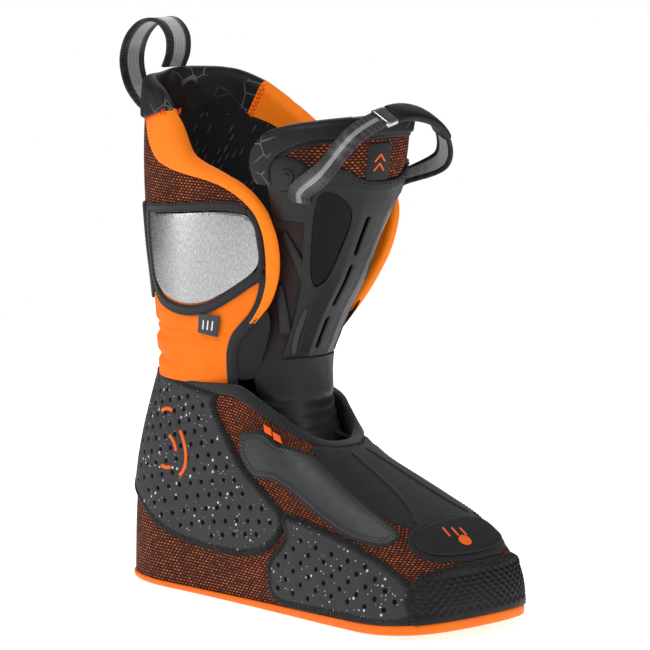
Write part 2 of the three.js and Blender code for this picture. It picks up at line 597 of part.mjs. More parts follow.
function addTongue(group) {
  const roll = between(TONGUE_TOP, TONGUE_ROLL, SIDE_PER_MM);
  const body = [[-0.93, TONGUE_Z], [-0.95, 200], [-0.96, 263], ...TONGUE_ROLL, [0.96, 261], [0.95, 200],
    [0.93, TONGUE_Z]];
  add(group, 'tongue_lining', piece(tongue, body, tongueInner, above(tongueInner, LINING)), 'lining');
  add(group, 'tongue_foam', piece(tongue, body, above(tongueInner, LINING + GAP), TONGUE_FOAM_OUT),
    'foam');
  add(group, 'tongue_roll', piece(tongue, roll, tongueInner, ROLL_OUT), 'black');
  const mesh = [[-0.58, 258], [-0.86, 266], [-0.85, 276], [-0.77, 284], [-0.58, 291], [0, 294.5], [0.58, 291],
    [0.77, 284], [0.85, 274], [0.86, 264], [0.58, 258]];
  add(group, 'tongue_mesh', piece(tongue, mesh, ...TONGUE_SKIN), 'mesh');
  add(group, 'tongue_frame', piece(tongue, mirrorLine(FRAME_HALF), ...FRAME_LAYER), 'plastic');
  const label = rounded([-0.2, 0.02], [268.5, 292], [0.02, 1.5]);
  add(group, 'tongue_label', piece(tongue, label, ...TONGUE_TOP_LAYER), 'black');
  addPair(group, 'tongue_window', tongue, mirrored(WINDOW), TONGUE_SKIN, 'gloss');
  addPair(group, 'strap_anchor', tongue, rounded(...ANCHOR, [0.03, 2]), TONGUE_TOP_LAYER, 'black');
  const reach = [RIVET_RADIUS * SIDE_PER_MM, RIVET_RADIUS];
  const span = RIVET.map((centre, i) => [centre - reach[i], centre + reach[i]]);
  addPair(group, 'rivet', tongue, rounded(...span, reach), RIVET_LAYER, 'plastic', 0.4);
}

// ---- straps ----------------------------------------------------------------------------------------
/** Flat webbing along a curve. `across` gives its width direction at a fraction of the curve. */
function webbing(curve, across, [from, to], count, width, thickness) {
  const [lows, highs] = [[], []];
  const triangles = [];
  steps(from, to, count).forEach((t, i) => {
    const p = curve.getPoint(t);
    const tangent = curve.getTangent(t);
    const flat = across(t);
    flat.addScaledVector(tangent, -flat.dot(tangent)).normalize();
    const up = new THREE.Vector3().crossVectors(tangent, flat);
    [-1, 1].forEach((side) => {
      const spot = p.clone().addScaledVector(flat, side * width / 2);
      lows.push(spot.clone().addScaledVector(up, -thickness / 2));
      highs.push(spot.clone().addScaledVector(up, thickness / 2));
    });
    if (i > 0) triangles.push([2 * i - 2, 2 * i, 2 * i + 1], [2 * i - 2, 2 * i + 1, 2 * i - 1]);
  });
  return closedBody(lows, highs, triangles);
}

const curveThrough = (points) => new THREE.CatmullRomCurve3(points.map((p) => new THREE.Vector3(...p)),
  false, 'centripetal');
const LOOP_PATH = [[16.5, 0, 327], [20.5, 0, 336], [20, 0, 347], [11, 0, 355.5], [-4, 0, 354.5],
  [-17, 0, 344], [-22, 0, 329], [-17.5, 0, 313], [-8, 0, 303], [1, 0, 297], [6.3, 0, 289], [6.4, 0, 281]];

/** Where a strap leaves the tongue, standing clear of its anchor, and the strap's width direction there. */
function strapFoot(sign) {
  const surfacePoint = tonguePoint(sign * STRAP_FOOT[0], STRAP_FOOT[1]);
  const e = 1e-3;
  const over = tonguePoint(sign * STRAP_FOOT[0], STRAP_FOOT[1] + 1).sub(surfacePoint);
  const around = tonguePoint(sign * (STRAP_FOOT[0] + e), STRAP_FOOT[1]).sub(surfacePoint);
  const out = around.clone().cross(over).multiplyScalar(sign).normalize();
  return {
    point: surfacePoint.addScaledVector(out, TONGUE_TOP_LAYER[1] + 2 * GAP + WEBBING / 2),
    rise: over.normalize(),
    flat: around.normalize().multiplyScalar(-sign),
  };
}

const STRAP_MIDDLE = [[198, -53, 277], [209, -37, 299], [213, 0, 310], [209, 37, 299], [198, 53, 277]];
const STRAP_ACROSS = new THREE.Vector3(0.87, 0, -0.5);
const SLEEVE = [0.47, 0.66];     // stretch of the strap inside its padded sleeve
const FERRULE = 0.03;            // length of the ferrule, as a fraction of the strap
const STRAP_SPACE = 0.004;       // and of the gap between its pieces
const STRAP_RISE = 6;            // how far a strap follows the tongue before it stands off
const SLEEVE_THICKNESS = 5;
const FERRULE_THICKNESS = 4;

function strapCurve() {
  const [start, end] = [strapFoot(-1), strapFoot(1)];
  const up = (foothold) => foothold.point.clone().addScaledVector(foothold.rise, STRAP_RISE);
  return {
    start,
    end,
    curve: new THREE.CatmullRomCurve3([start.point, up(start),
      ...STRAP_MIDDLE.map((p) => new THREE.Vector3(...p)), up(end), end.point], false, 'centripetal'),
  };
}

function addStraps(cuffGroup, strapGroup) {
  const sideways = () => new THREE.Vector3(0, 1, 0);
  const loop = webbing(curveThrough(LOOP_PATH), sideways, [0, 1], 24, LOOP_WIDTH, WEBBING);
  add(cuffGroup, 'rear_pull_loop', loop, 'webbing');
  const { start, end, curve } = strapCurve();
  const across = (t) => start.flat.clone().lerp(STRAP_ACROSS, smooth(t, 0.05, 0.3))
    .lerp(end.flat, smooth(t, 0.7, 0.95));
  const [from, to] = SLEEVE;
  const leg = (name, range) => add(strapGroup, name,
    webbing(curve, across, range, 10, STRAP_WIDTH, WEBBING), 'webbing');
  leg('lateral_strap_leg', [0, from - FERRULE - STRAP_SPACE]);
  leg('medial_strap_leg', [to + STRAP_SPACE, 1]);
  const ferrule = [from - FERRULE, from - STRAP_SPACE];
  add(strapGroup, 'strap_ferrule',
    webbing(curve, across, ferrule, 1, STRAP_WIDTH + 1.5, FERRULE_THICKNESS), 'silver', 0.8);
  add(strapGroup, 'strap_sleeve', webbing(curve, across, SLEEVE, 8, STRAP_WIDTH + 1, SLEEVE_THICKNESS),
    'black');
}

function addTag(group) {
  add(group, 'size_tag', piece(cuff, rounded([-108, -92], [166, 180], [2, 2]), ...TAG_LAYER), 'grey');
}

// ---- assembly ----------------------------------------------------------------------------------
const bodies = Object.fromEntries(['foot', 'cuff', 'tongue', 'strap', 'tag'].map((name) => {
  const group = new THREE.Group();
  boot.add(group);
  return [name, group];
}));
addSole(bodies.foot);
addFoot(bodies.foot);
addFlexZone(bodies.foot);
addCuff(bodies.cuff);
addTongue(bodies.tongue);
addStraps(bodies.cuff, bodies.strap);
addTag(bodies.tag);

export default boot;
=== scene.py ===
"""The looks of a right-foot ski-boot liner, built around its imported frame.

The liner's outer shape is three smooth surfaces, the same as the frame's: the foot, the cuff and the tongue.
Every sewn or moulded piece is cut from one of them by an outline and lies between two distances from it.
Sizes are in millimetres until a mesh is made. +X is towards the toe, -Y is the outer (lateral) side, +Z up.
"""

import math
import random

import bmesh
import bpy
import numpy as np
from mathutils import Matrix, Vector, geometry, kdtree


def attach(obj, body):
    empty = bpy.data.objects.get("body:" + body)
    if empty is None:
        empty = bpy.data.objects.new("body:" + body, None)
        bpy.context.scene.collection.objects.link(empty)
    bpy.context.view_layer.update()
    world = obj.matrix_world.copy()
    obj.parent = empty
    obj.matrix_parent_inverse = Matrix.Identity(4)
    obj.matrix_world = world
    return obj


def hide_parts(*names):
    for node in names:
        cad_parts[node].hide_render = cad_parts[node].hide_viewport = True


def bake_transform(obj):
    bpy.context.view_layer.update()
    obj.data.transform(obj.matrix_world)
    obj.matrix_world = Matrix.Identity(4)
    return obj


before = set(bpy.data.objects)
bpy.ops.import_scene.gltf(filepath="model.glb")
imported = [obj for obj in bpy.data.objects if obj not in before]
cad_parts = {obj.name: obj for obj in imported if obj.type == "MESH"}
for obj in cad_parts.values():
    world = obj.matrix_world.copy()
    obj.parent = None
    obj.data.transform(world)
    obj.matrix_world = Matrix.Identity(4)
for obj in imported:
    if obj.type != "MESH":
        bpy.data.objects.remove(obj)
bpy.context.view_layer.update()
MM = 0.001
RANDOM = random.Random(7)

# ---- driving dimensions, as in the frame -------------------------------------------------------------
FOOT_LENGTH = 290.0
BALL_X = 215.0
TOE_LIFT = 7.0
SOLE_HEEL = 4.0
SOLE_TOE = 6.5
WALL = 9.0
THIN_WALL = 3.4
FLEX_Z = 177.0
COLLAR_Z = 139.5
TONGUE_Z = 153.5
LINING = 0.8
ROLL_OUT = 1.6
LOOP_WIDTH = 21.0
STRAP_WIDTH = 14.0
WEBBING = 2.2

# Foot stations: (sole edge x, y), (wall x, y, z), (collar x, y, z), from the heel along the lateral side.
STATIONS = [
    ((-4, 0), (-1, 0, 75), (19, 0, 138)),
    ((4, -25), (6, -26, 75), (25, -21, 137)),
    ((32, -39), (32, -40, 75), (48, -36, 136)),
    ((75, -41), (73, -43, 75), (80, -42, 136)),
    ((118, -43), (114, -44, 70), (112, -41, 136)),
    ((162, -46), (158, -46, 62), (134, -33, 124)),
    ((205, -49), (202, -48, 56), (152, -22, 110)),
    ((243, -49), (240, -46, 52), (159, -12, 104.5)),
    ((273, -35), (273, -34, 52), (162, -4, 103)),
    ((286, 2), (286.5, 2, 54), (163, 4, 103)),
    ((280, 37), (280.5, 36, 55), (161, 11, 103.5)),
    ((252, 51), (251, 46.5, 53), (157, 18, 105)),
    ((207, 51), (203, 44, 53), (151, 26, 109)),
    ((160, 40), (157, 39, 60), (138, 34, 117)),
    ((118, 34), (114, 40, 68), (120, 41, 126)),
    ((75, 34), (73, 41, 75), (82, 43, 135)),
    ((32, 36), (32, 40, 75), (48, 37, 137)),
    ((4, 24), (6, 26, 75), (25, 22, 138)),
]
STATION_COUNT = len(STATIONS)
TOE = STATION_COUNT / 2
WALL_PULL = 1.9

# Cuff ovals: height, back, front, lateral and medial half widths.
CUFF_SECTIONS = [
    (130, 20, 124, 42, 42),
    (160, 19, 140, 44, 46),
    (190, 15, 158, 46, 52),
    (220, 11, 174, 49, 58),
    (255, 9, 184, 52, 62),
    (290, 9, 190, 53, 60),
    (332, 13, 192, 53, 57),
]
OVAL = 2.3
FLAP = 1.7

# Tongue sections: height, front, lateral and medial half widths, depth.
TONGUE_SECTIONS = [
    (100, 152, 27, 28, 22),
    (115, 146, 29, 30, 24),
    (130, 142, 30, 32, 26),
    (156, 143, 30, 33, 30),
    (181, 154, 29, 35, 34),
    (207, 170, 30, 38, 40),
    (232, 182, 35, 42, 46),
    (255, 193, 42, 47, 54),
    (277, 200, 49, 49, 62),
    (306, 204, 51, 50, 66),
]
TONGUE_OVAL = 2.2

# Edge lines: (degrees from the back, height) on the cuff and (side, height) on the tongue.
RIM_LATERAL = [(-127, 177), (-131.5, 190), (-132, 204), (-130.5, 216), (-128, 228), (-125, 238),
               (-120.5, 249), (-113.5, 259), (-105, 266), (-95, 270.5), (-86, 274), (-79, 279),
               (-75, 287), (-71, 296), (-67, 301.5)]
RIM_BACK = [(-65, 305), (-61, 311), (-54, 318), (-44, 322), (-30, 324), (-12, 324), (0, 326), (20, 326),
            (42, 324), (58, 316)]
RIM_MEDIAL = [(59, 315.2), (72, 303), (88, 287), (106, 273), (120, 260), (129, 243), (132, 222), (132, 203),
              (131, 177)]
ROLL_LATERAL = [(-122, 177), (-125.5, 190), (-126, 202), (-124.5, 213), (-121.5, 230), (-119, 239),
                (-115.5, 247), (-109, 254.5), (-101, 260), (-90, 264), (-79, 266), (-69, 268.5),
                (-61, 272), (-55.5, 278), (-51.5, 285), (-48.5, 293.5)]
SPOILER_LOW = [(-47.5, 297), (-40, 297), (-20, 297), (0, 297), (30, 297), (51, 295)]
ROLL_MEDIAL = [(52, 294.2), (66, 287), (82, 273), (100, 260), (113, 247), (121, 234), (124, 220),
               (124, 203), (124, 177)]
TONGUE_TOP = [(-1.05, 266), (-1.05, 279), (-0.99, 290.5), (-0.84, 300), (-0.5, 305), (0, 307), (0.5, 305),
              (0.76, 300), (0.9, 290), (0.97, 276), (0.99, 264)]
TONGUE_ROLL = [(-0.91, 265), (-0.88, 277), (-0.79, 286), (-0.6, 293), (-0.35, 295.5), (0, 296.5),
               (0.35, 295.5), (0.6, 292), (0.79, 285), (0.88, 275), (0.91, 263)]


# ---- curves and surfaces -----------------------------------------------------------------------------
def smoothstep(x, low, high):
    t = np.clip((np.asarray(x, float) - low) / (high - low), 0, 1)
    return t * t * (3 - 2 * t)


def station_curve(points, a):
    """The closed curve through a row of station points, at station numbers a."""
    whole = np.floor(a).astype(int)
    t = (a - whole)[:, None]
    p, q, r, s = (points[(whole + k) % STATION_COUNT] for k in (-1, 0, 1, 2))
    return q + 0.5 * t * (r - p + t * (2 * p - 5 * q + 4 * r - s + t * (3 * (q - r) + s - p)))


def table_at(rows, z):
    """The columns of a table of sections at heights z, with smooth slopes between the rows."""
    heights = rows[:, 0]
    z = np.clip(z, heights[0], heights[-1])
    low = np.maximum(np.arange(len(rows)) - 1, 0)
    high = np.minimum(np.arange(len(rows)) + 1, len(rows) - 1)
    slopes = (rows[high] - rows[low]) / (heights[high] - heights[low])[:, None]
    i = np.clip(np.searchsorted(heights, z, side="right") - 1, 0, len(rows) - 2)
    span = (heights[i + 1] - heights[i])[:, None]
    t = (z - heights[i])[:, None] / span
    blend = t * t * (3 - 2 * t)
    bend = (t**3 - 2 * t**2 + t) * slopes[i] + (t**3 - t**2) * slopes[i + 1]
    return (rows[i] * (1 - blend) + rows[i + 1] * blend + span * bend)[:, 1:].T


SOLE_POINTS = np.array([(*s[0], 0) for s in STATIONS], float)
WALL_POINTS = np.array([s[1] for s in STATIONS], float)
COLLAR_POINTS = np.array([s[2] for s in STATIONS], float)
CUFF_ROWS = np.array(CUFF_SECTIONS, float)
TONGUE_ROWS = np.array(TONGUE_SECTIONS, float)


def sole_lift(x):
    return TOE_LIFT * (np.maximum(0, x - BALL_X) / (FOOT_LENGTH - 4 - BALL_X)) ** 2


def sole_edge(x):
    return SOLE_HEEL + (SOLE_TOE - SOLE_HEEL) * smoothstep(x, 60, 260)


def foot_point(a, t):
    sole = station_curve(SOLE_POINTS, a)
    sole[:, 2] = sole_lift(sole[:, 0]) + sole_edge(sole[:, 0])
    t = t[:, None]
    weights = [(1 - t) ** 2, 2 * t * (1 - t) * WALL_PULL, t**2]
    total = sum(weights)
    wall, collar = station_curve(WALL_POINTS, a), station_curve(COLLAR_POINTS, a)
    return (sole * weights[0] + wall * weights[1] + collar * weights[2]) / total


def oval(angle, exponent):
    """Cosine and sine of an angle, pushed out to a superellipse."""
    c, s = np.cos(angle), np.sin(angle)
    k = (np.abs(c) ** exponent + np.abs(s) ** exponent) ** (-1 / exponent)
    return c * k, s * k, s


def cuff_point(degrees, z):
    back, front, lateral, medial = table_at(CUFF_ROWS, z)
    exponent = OVAL + FLAP * smoothstep(degrees, 70, 120) * smoothstep(z, 150, 200)
    c, s, turn = oval(np.radians(degrees), exponent)
    half = lateral + (medial - lateral) * (1 + turn) / 2
    return np.stack([(back + front) / 2 - (front - back) / 2 * c, half * s, z], 1)


def tongue_point(side, z):
    front, lateral, medial, depth = table_at(TONGUE_ROWS, z)
    c, s, turn = oval(side * math.pi / 2, TONGUE_OVAL)
    half = lateral + (medial - lateral) * (1 + turn) / 2
    return np.stack([front - depth + depth * c, half * s, z], 1)


class Surface:
    """A smooth surface point(a, b) with outward normals, and flat pattern coordinates for its fabric."""

    def __init__(self, point, a_range, b_range, sign, level, middle, flat_bottom=False):
        self.point = point
        self.b_range = b_range
        self.sign = sign
        self.flat_bottom = flat_bottom
        self.step = ((a_range[1] - a_range[0]) * 1e-4, (b_range[1] - b_range[0]) * 1e-4)
        self.a_line = np.linspace(*a_range, 400)
        self.a_length = self._lengths(self.a_line, np.full(400, float(level)))
        self.b_line = np.linspace(*b_range, 200)
        self.b_length = self._lengths(np.full(200, float(middle)), self.b_line)

    def _lengths(self, a, b):
        p = self.point(a, b)
        return np.concatenate([[0], np.cumsum(np.linalg.norm(np.diff(p, axis=0), axis=1))])

    def slopes(self, a, b):
        """How far the point moves for one unit of a and of b."""
        ea, eb = self.step
        low, high = np.maximum(b - eb, self.b_range[0]), np.minimum(b + eb, self.b_range[1])
        along = (self.point(a + ea, b) - self.point(a - ea, b)) / (2 * ea)
        up = (self.point(a, high) - self.point(a, low)) / (high - low)[:, None]
        return along, up

    def normal(self, a, b):
        along, up = self.slopes(a, np.clip(b, *self.b_range))
        n = np.cross(along, up) * self.sign
        if self.flat_bottom:
            n[:, 2] *= smoothstep(b, 0, 0.05)
        return n / np.linalg.norm(n, axis=1)[:, None]

    def place(self, a, b, height):
        a, b = np.asarray(a, float), np.asarray(b, float)
        height = np.broadcast_to(np.asarray(height, float), a.shape)
        return self.point(a, b) + self.normal(a, b) * height[:, None]

    def pattern(self, a, b):
        return np.stack([np.interp(a, self.a_line, self.a_length),
                         np.interp(b, self.b_line, self.b_length)], 1)

    def across(self, a, b, direction):
        """The unit step, in (a, b), to the left of a direction drawn in (a, b)."""
        along, up = self.slopes(a, b)
        g11, g12, g22 = (along * along).sum(1), (along * up).sum(1), (up * up).sum(1)
        left = np.stack([-direction[:, 1], direction[:, 0]], 1)
        det = g11 * g22 - g12**2
        q = np.stack([g22 * left[:, 0] - g12 * left[:, 1], g11 * left[:, 1] - g12 * left[:, 0]], 1)
        q /= det[:, None]
        return q / np.sqrt((q * left).sum(1))[:, None]

    def circle(self, a, b, radius, angles):
        """Points of a round circle about one spot, in (a, b)."""
        along, up = (v[0] for v in self.slopes(np.array([a]), np.array([b])))
        e1 = along / np.linalg.norm(along)
        e2 = up - e1 * (up @ e1)
        e2 /= np.linalg.norm(e2)
        jac = np.stack([along, up], 1)
        spots = radius * (np.outer(np.cos(angles), e1) + np.outer(np.sin(angles), e2))
        return np.array([a, b]) + spots @ np.linalg.pinv(jac).T


FOOT = Surface(foot_point, (-TOE, STATION_COUNT + TOE), (0, 1), 1, 0.4, 4, flat_bottom=True)
CUFF = Surface(cuff_point, (-180, 180), (128, 332), -1, 220, -90)
TONGUE = Surface(tongue_point, (-1, 1), (100, 308), 1, 250, 0)


def foot_wall(a, t):
    around_toe = np.abs((a + TOE) % STATION_COUNT - TOE)
    return WALL + (THIN_WALL - WALL) * smoothstep(around_toe, 3, 5) * smoothstep(t, 0.5, 0.95)


def cuff_wall(degrees):
    return WALL + 1 + (5 - WALL - 1) * smoothstep(np.abs(degrees), 80, 112)


def tongue_wall(side):
    return 4.5 + 4.5 * smoothstep(1 - np.abs(side), 0, 0.5)


# ---- lines on a surface ------------------------------------------------------------------------------
POINTS_PER_SPAN = 12


def smooth_line(points, closed=False):
    """A Catmull-Rom line through points."""
    p = np.array(points, float)
    count = len(p)
    spans = count if closed else count - 1
    take = (lambda i: p[i % count]) if closed else (lambda i: p[np.clip(i, 0, count - 1)])
    i = np.repeat(np.arange(spans), POINTS_PER_SPAN)
    t = np.tile(np.arange(POINTS_PER_SPAN) / POINTS_PER_SPAN, spans)[:, None]
    x, y, z, w = (take(i + k) for k in (-1, 0, 1, 2))
    line = y + 0.5 * t * (z - x + t * (2 * x - 5 * y + 4 * z - w + t * (3 * (y - z) + w - x)))
    return line if closed else np.vstack([line, p[-1]])


def even(surface, line, step, closed=False):
    """The same line with points an even distance apart on the surface."""
    path = np.vstack([line, line[:1]]) if closed else line
    p = surface.point(path[:, 0], path[:, 1])
    lengths = np.concatenate([[0], np.cumsum(np.linalg.norm(np.diff(p, axis=0), axis=1))])
    count = max(3, int(round(lengths[-1] / step)))
    at = np.linspace(0, lengths[-1], count + 1)
    if closed:
        at = at[:-1]
    return np.stack([np.interp(at, lengths, path[:, k]) for k in (0, 1)], 1)


def loop_of(surface, *lines, step=1.0, straight=False):
    """A counter-clockwise outline of smooth lines, with a corner where one ends and the next begins."""
    if len(lines) == 1:
        drawn = np.array(lines[0], float) if straight else smooth_line(lines[0], closed=True)
        loop = even(surface, drawn, step, closed=True)
    else:
        parts = []
        for line, following in zip(lines, lines[1:] + lines[:1]):
            drawn = np.array(line, float) if straight else smooth_line(line)
            parts.append(even(surface, drawn, step))
            parts.append(even(surface, np.array([line[-1], following[0]], float), step)[1:-1])
        loop = np.vstack(parts)
    loop = loop[np.linalg.norm(loop - np.roll(loop, 1, 0), axis=1) > 1e-6]
    return loop if area_of(loop) > 0 else loop[::-1].copy()


def moved(surface, line, distance, closed=False):
    """A line moved to its left on the surface, by one distance or by one for each of its points."""
    if closed:
        direction = np.roll(line, -1, 0) - np.roll(line, 1, 0)
    else:
        direction = np.gradient(line, axis=0)
    return line + surface.across(line[:, 0], line[:, 1], direction) * np.reshape(distance, (-1, 1))


def area_of(loop):
    x, y = loop[:, 0], loop[:, 1]
    return 0.5 * np.sum(x * np.roll(y, -1) - y * np.roll(x, -1))


def inside(points, loop):
    """Which points lie inside a closed loop."""
    x, y = points[:, 0:1], points[:, 1:2]
    x0, y0 = loop[:, 0], loop[:, 1]
    x1, y1 = np.roll(x0, -1), np.roll(y0, -1)
    crosses = (y0 > y) != (y1 > y)
    with np.errstate(divide="ignore", invalid="ignore"):
        at = x0 + (y - y0) * (x1 - x0) / (y1 - y0)
    return (np.sum(crosses & (x < at), axis=1) % 2) == 1


def distance_to(points, line, closed=True):
    """Distance of points from a polyline in space."""
    starts = line if closed else line[:-1]
    ends = np.roll(line, -1, 0) if closed else line[1:]
    d = ends - starts
    squares = np.maximum((d * d).sum(1), 1e-12)
    out = np.empty(len(points))
    for k in range(0, len(points), 400):
        p = points[k:k + 400, None] - starts[None]
        t = np.clip((p * d).sum(2) / squares, 0, 1)
        out[k:k + 400] = np.linalg.norm(p - t[..., None] * d, axis=2).min(1)
    return out


# ---- meshes ------------------------------------------------------------------------------------------
def make_object(name, points, faces, material, corner_uv=None, point_uv=None):
    """A smooth-shaded object from points and pattern coordinates in millimetres, and a material's name."""
    mesh = bpy.data.meshes.new(name)
    mesh.from_pydata((np.asarray(points) * MM).tolist(), [], faces)
    mesh.polygons.foreach_set("use_smooth", np.ones(len(mesh.polygons), bool))
    if point_uv is not None:
        corners = np.empty(len(mesh.loops), int)
        mesh.loops.foreach_get("vertex_index", corners)
        corner_uv = np.asarray(point_uv)[corners]
    if corner_uv is not None:
        layer = mesh.uv_layers.new(name="pattern")
        layer.data.foreach_set("uv", (np.asarray(corner_uv, np.float32) * MM).ravel())
    mesh.materials.append(MATERIALS[material])
    mesh.update()
    piece = bpy.data.objects.new(name, mesh)
    bpy.context.scene.collection.objects.link(piece)
    return piece


def crown(distance, radius):
    """How far a rounded edge lies below its top, at a distance from the edge."""
    reach = np.clip(radius - distance, 0, radius)
    return radius - np.sqrt(np.maximum(radius**2 - reach**2, 0))


def roll_droop(distance, half):
    """How far a padded roll's face has turned in, at a distance from its rim."""
    reach = np.clip(half - distance, 0, half)
    return 0.97 * (half - np.sqrt(np.maximum(half**2 - reach**2, 0)))


def layer_at(layer, a, b):
    return layer(a, b) if callable(layer) else np.full(len(a), float(layer))


ROUND_STEPS = (0.134, 0.5, 1.0)
SOFT_STEPS = (0.034, 0.134, 0.293, 0.5, 0.74, 1.0)


def hex_grid(surface, loop, spacing):
    """Evenly staggered points inside a loop."""
    low, high = loop.min(0), loop.max(0)
    centre = (low + high) / 2
    along, up = surface.slopes(centre[:1], centre[1:])
    step = np.array([spacing / np.linalg.norm(along), 0.866 * spacing / np.linalg.norm(up)])
    counts = np.ceil((high - low) / step).astype(int) + 1
    i, j = np.meshgrid(np.arange(counts[0]), np.arange(counts[1]), indexing="ij")
    points = np.stack([low[0] + (i + 0.5 * (j % 2)) * step[0], low[1] + j * step[1]], -1).reshape(-1, 2)
    return points[inside(points, loop)]


def sheet(name, surface, loop, top, base, material, spacing=3.0, edge=0.5, soft=None, pits=(), holes=(),
          pit=(1.7, 1.6)):
    """A closed piece cut from a surface by an outline, between the heights base and top above it.

    edge rounds the whole outline's top. soft=(line, reach) rounds both faces along a line into a padded roll.
    pits are round holes that end inside the piece, and holes are loops cut right through it.
    """
    rims = [loop, *holes]
    solid = [surface.point(r[:, 0], r[:, 1]) for r in rims]
    steps = SOFT_STEPS if soft else ROUND_STEPS
    reach = soft[1] if soft else edge
    rings = []
    for k, rim in enumerate(rims):
        inward = np.sign(area_of(rim)) * (1 if k == 0 else -1)
        rings += [moved(surface, rim, inward * f * reach, closed=True) for f in steps]
    grid = hex_grid(surface, loop, spacing)
    extra = np.vstack(rings + [grid])
    keep = inside(extra, loop)
    for hole in holes:
        keep &= ~inside(extra, hole)
    extra = extra[keep]
    at = surface.point(extra[:, 0], extra[:, 1])
    gap = np.min([distance_to(at, s) for s in solid], axis=0)
    free = np.concatenate([np.full(len(r), f * reach * 0.8) for r in rims for f in steps]
                          + [np.full(len(grid), reach * 1.15)])[keep]
    extra = extra[gap > free]
    at = surface.point(extra[:, 0], extra[:, 1])
    sinks = np.zeros(len(extra))
    radius, depth = pit
    angles = np.arange(12) * math.pi / 6
    marks, mark_sinks = [], []
    for a, b in pits:
        centre = surface.point(np.array([a]), np.array([b]))[0]
        clear = np.linalg.norm(at - centre, axis=1) > radius * 1.35
        extra, at, sinks = extra[clear], at[clear], sinks[clear]
        for share, sink in ((1.12, 0), (1.0, 0.12), (0.93, 0.5), (0.84, depth)):
            marks.append(surface.circle(a, b, radius * share, angles))
            mark_sinks.append(np.full(12, sink))
        marks.append(np.array([[a, b]]))
        mark_sinks.append(np.array([depth]))
    points = np.vstack([*rims, extra, *marks])
    sinks = np.concatenate([np.zeros(sum(map(len, rims))), sinks, *mark_sinks])
    scale = np.array([np.linalg.norm(v) for v in surface.slopes(*points.mean(0)[:, None])])
    flat = [Vector(p) for p in points * scale]
    outlines, start = [], 0
    for rim in rims:
        outlines.append(list(range(start, start + len(rim))))
        start += len(rim)
    verts, _, faces, source, _, _ = geometry.delaunay_2d_cdt(flat, [], outlines, 1, 1e-6)
    a, b = (np.array(verts)[:, :2] / scale).T
    sink = np.array([sinks[s[0]] if s else 0 for s in source])
    if holes:
        middles = np.array([[(a[list(f)].mean()), b[list(f)].mean()] for f in faces])
        cut = np.zeros(len(faces), bool)
        for hole in holes:
            cut |= inside(middles, hole)
        faces = [f for f, gone in zip(faces, cut) if not gone]
    where = surface.point(a, b)
    gap = np.min([distance_to(where, s) for s in solid], axis=0)
    high = layer_at(top, a, b) - crown(gap, edge) - sink
    low = layer_at(base, a, b)
    if soft:
        line = surface.point(soft[0][:, 0], soft[0][:, 1])
        droop = roll_droop(distance_to(where, line, closed=False), (high - low) / 2)
        high = high - droop
        low = low + droop
    piece = close_sheet(name, surface, a, b, high, low, faces, material)
    # The pit attribute holds each point's share of the pit depth; the EVA material paints pits darker with
    # it, partly as painted shade.
    if len(pits):
        mark = piece.data.attributes.new("pit", "FLOAT", "POINT")
        mark.data.foreach_set("value", np.tile(np.clip(sink / depth, 0, 1), 2).astype(np.float32))
    return piece


def close_sheet(name, surface, a, b, high, low, faces, material):
    """Joins the upper and lower faces of a sheet with walls along its open edges."""
    count = len(a)
    if surface.sign < 0:
        faces = [tuple(reversed(f)) for f in faces]
    used = dict.fromkeys((p, q) for face in faces for p, q in zip(face, face[1:] + face[:1]))
    closed = [tuple(f) for f in faces] + [tuple(i + count for i in reversed(f)) for f in faces]
    closed += [(q, p, p + count, q + count) for p, q in used if (q, p) not in used]
    normal = surface.normal(a, b)
    base = surface.point(a, b)
    points = np.vstack([base + normal * high[:, None], base + normal * low[:, None]])
    uv = np.tile(surface.pattern(a, b), (2, 1))
    return make_object(name, points, closed, material, point_uv=uv)


def ring_sheet(name, surface, a_values, b_values, top, base, material):
    """A sheet that goes all the way round the foot, closed on itself."""
    columns, rows = len(a_values) - 1, len(b_values)
    a, b = (v.ravel() for v in np.meshgrid(a_values[:-1], b_values, indexing="ij"))
    grid = [surface.place(a, b, layer_at(layer, a, b)) for layer in (top, base)]
    uv = surface.pattern(*(v.ravel() for v in np.meshgrid(a_values, b_values, indexing="ij")))
    faces, corners = [], []
    count = columns * rows

    def add(cells, flip):
        order = list(reversed(cells)) if flip else cells
        faces.append([(i % columns) * rows + j + side * count for i, j, side in order])
        corners.extend(uv[i * rows + j] for i, j, side in order)

    for i in range(columns):
        for j in range(rows - 1):
            cell = [(i, j), (i + 1, j), (i + 1, j + 1), (i, j + 1)]
            add([(*c, 0) for c in cell], False)
            add([(*c, 1) for c in cell], True)
        for j, flip in ((0, False), (rows - 1, True)):
            add([(i + 1, j, 0), (i, j, 0), (i, j, 1), (i + 1, j, 1)], flip)
    return make_object(name, np.vstack(grid), faces, material, corner_uv=corners)


def tape(name, surface, line, width, top, base, material, step=1.2, closed=False, dome=0.25, tilt=0.0):
    """A slightly domed tape sewn along a line. tilt raises its left edge and lowers its right."""
    path = even(surface, line, step, closed)
    half = width / 2
    shares = np.array([-1, -0.97, -0.85, -0.5, 0, 0.5, 0.85, 0.97, 1])
    drop = np.array([0.55, 0.2, 0.02, 0, 0, 0, 0.02, 0.2, 0.55])
    rows = []
    count = len(path)
    lengths = np.arange(count) * step
    for share, fall in zip(shares, drop):
        spot = moved(surface, path, share * half, closed)
        spot[:, 1] = np.clip(spot[:, 1], *surface.b_range)
        high = layer_at(top, *spot.T) + tilt * share
        height = high - fall * (high - layer_at(base, *spot.T)) + dome * (1 - share**2)
        rows.append((surface.place(spot[:, 0], spot[:, 1], height), share * half))
    for share in (1, 0, -1):
        spot = moved(surface, path, share * half, closed)
        spot[:, 1] = np.clip(spot[:, 1], *surface.b_range)
        rows.append((surface.place(spot[:, 0], spot[:, 1], layer_at(base, *spot.T)), share * half))
    return sweep(name, [r[0] for r in rows], lengths, [r[1] for r in rows], material, closed)


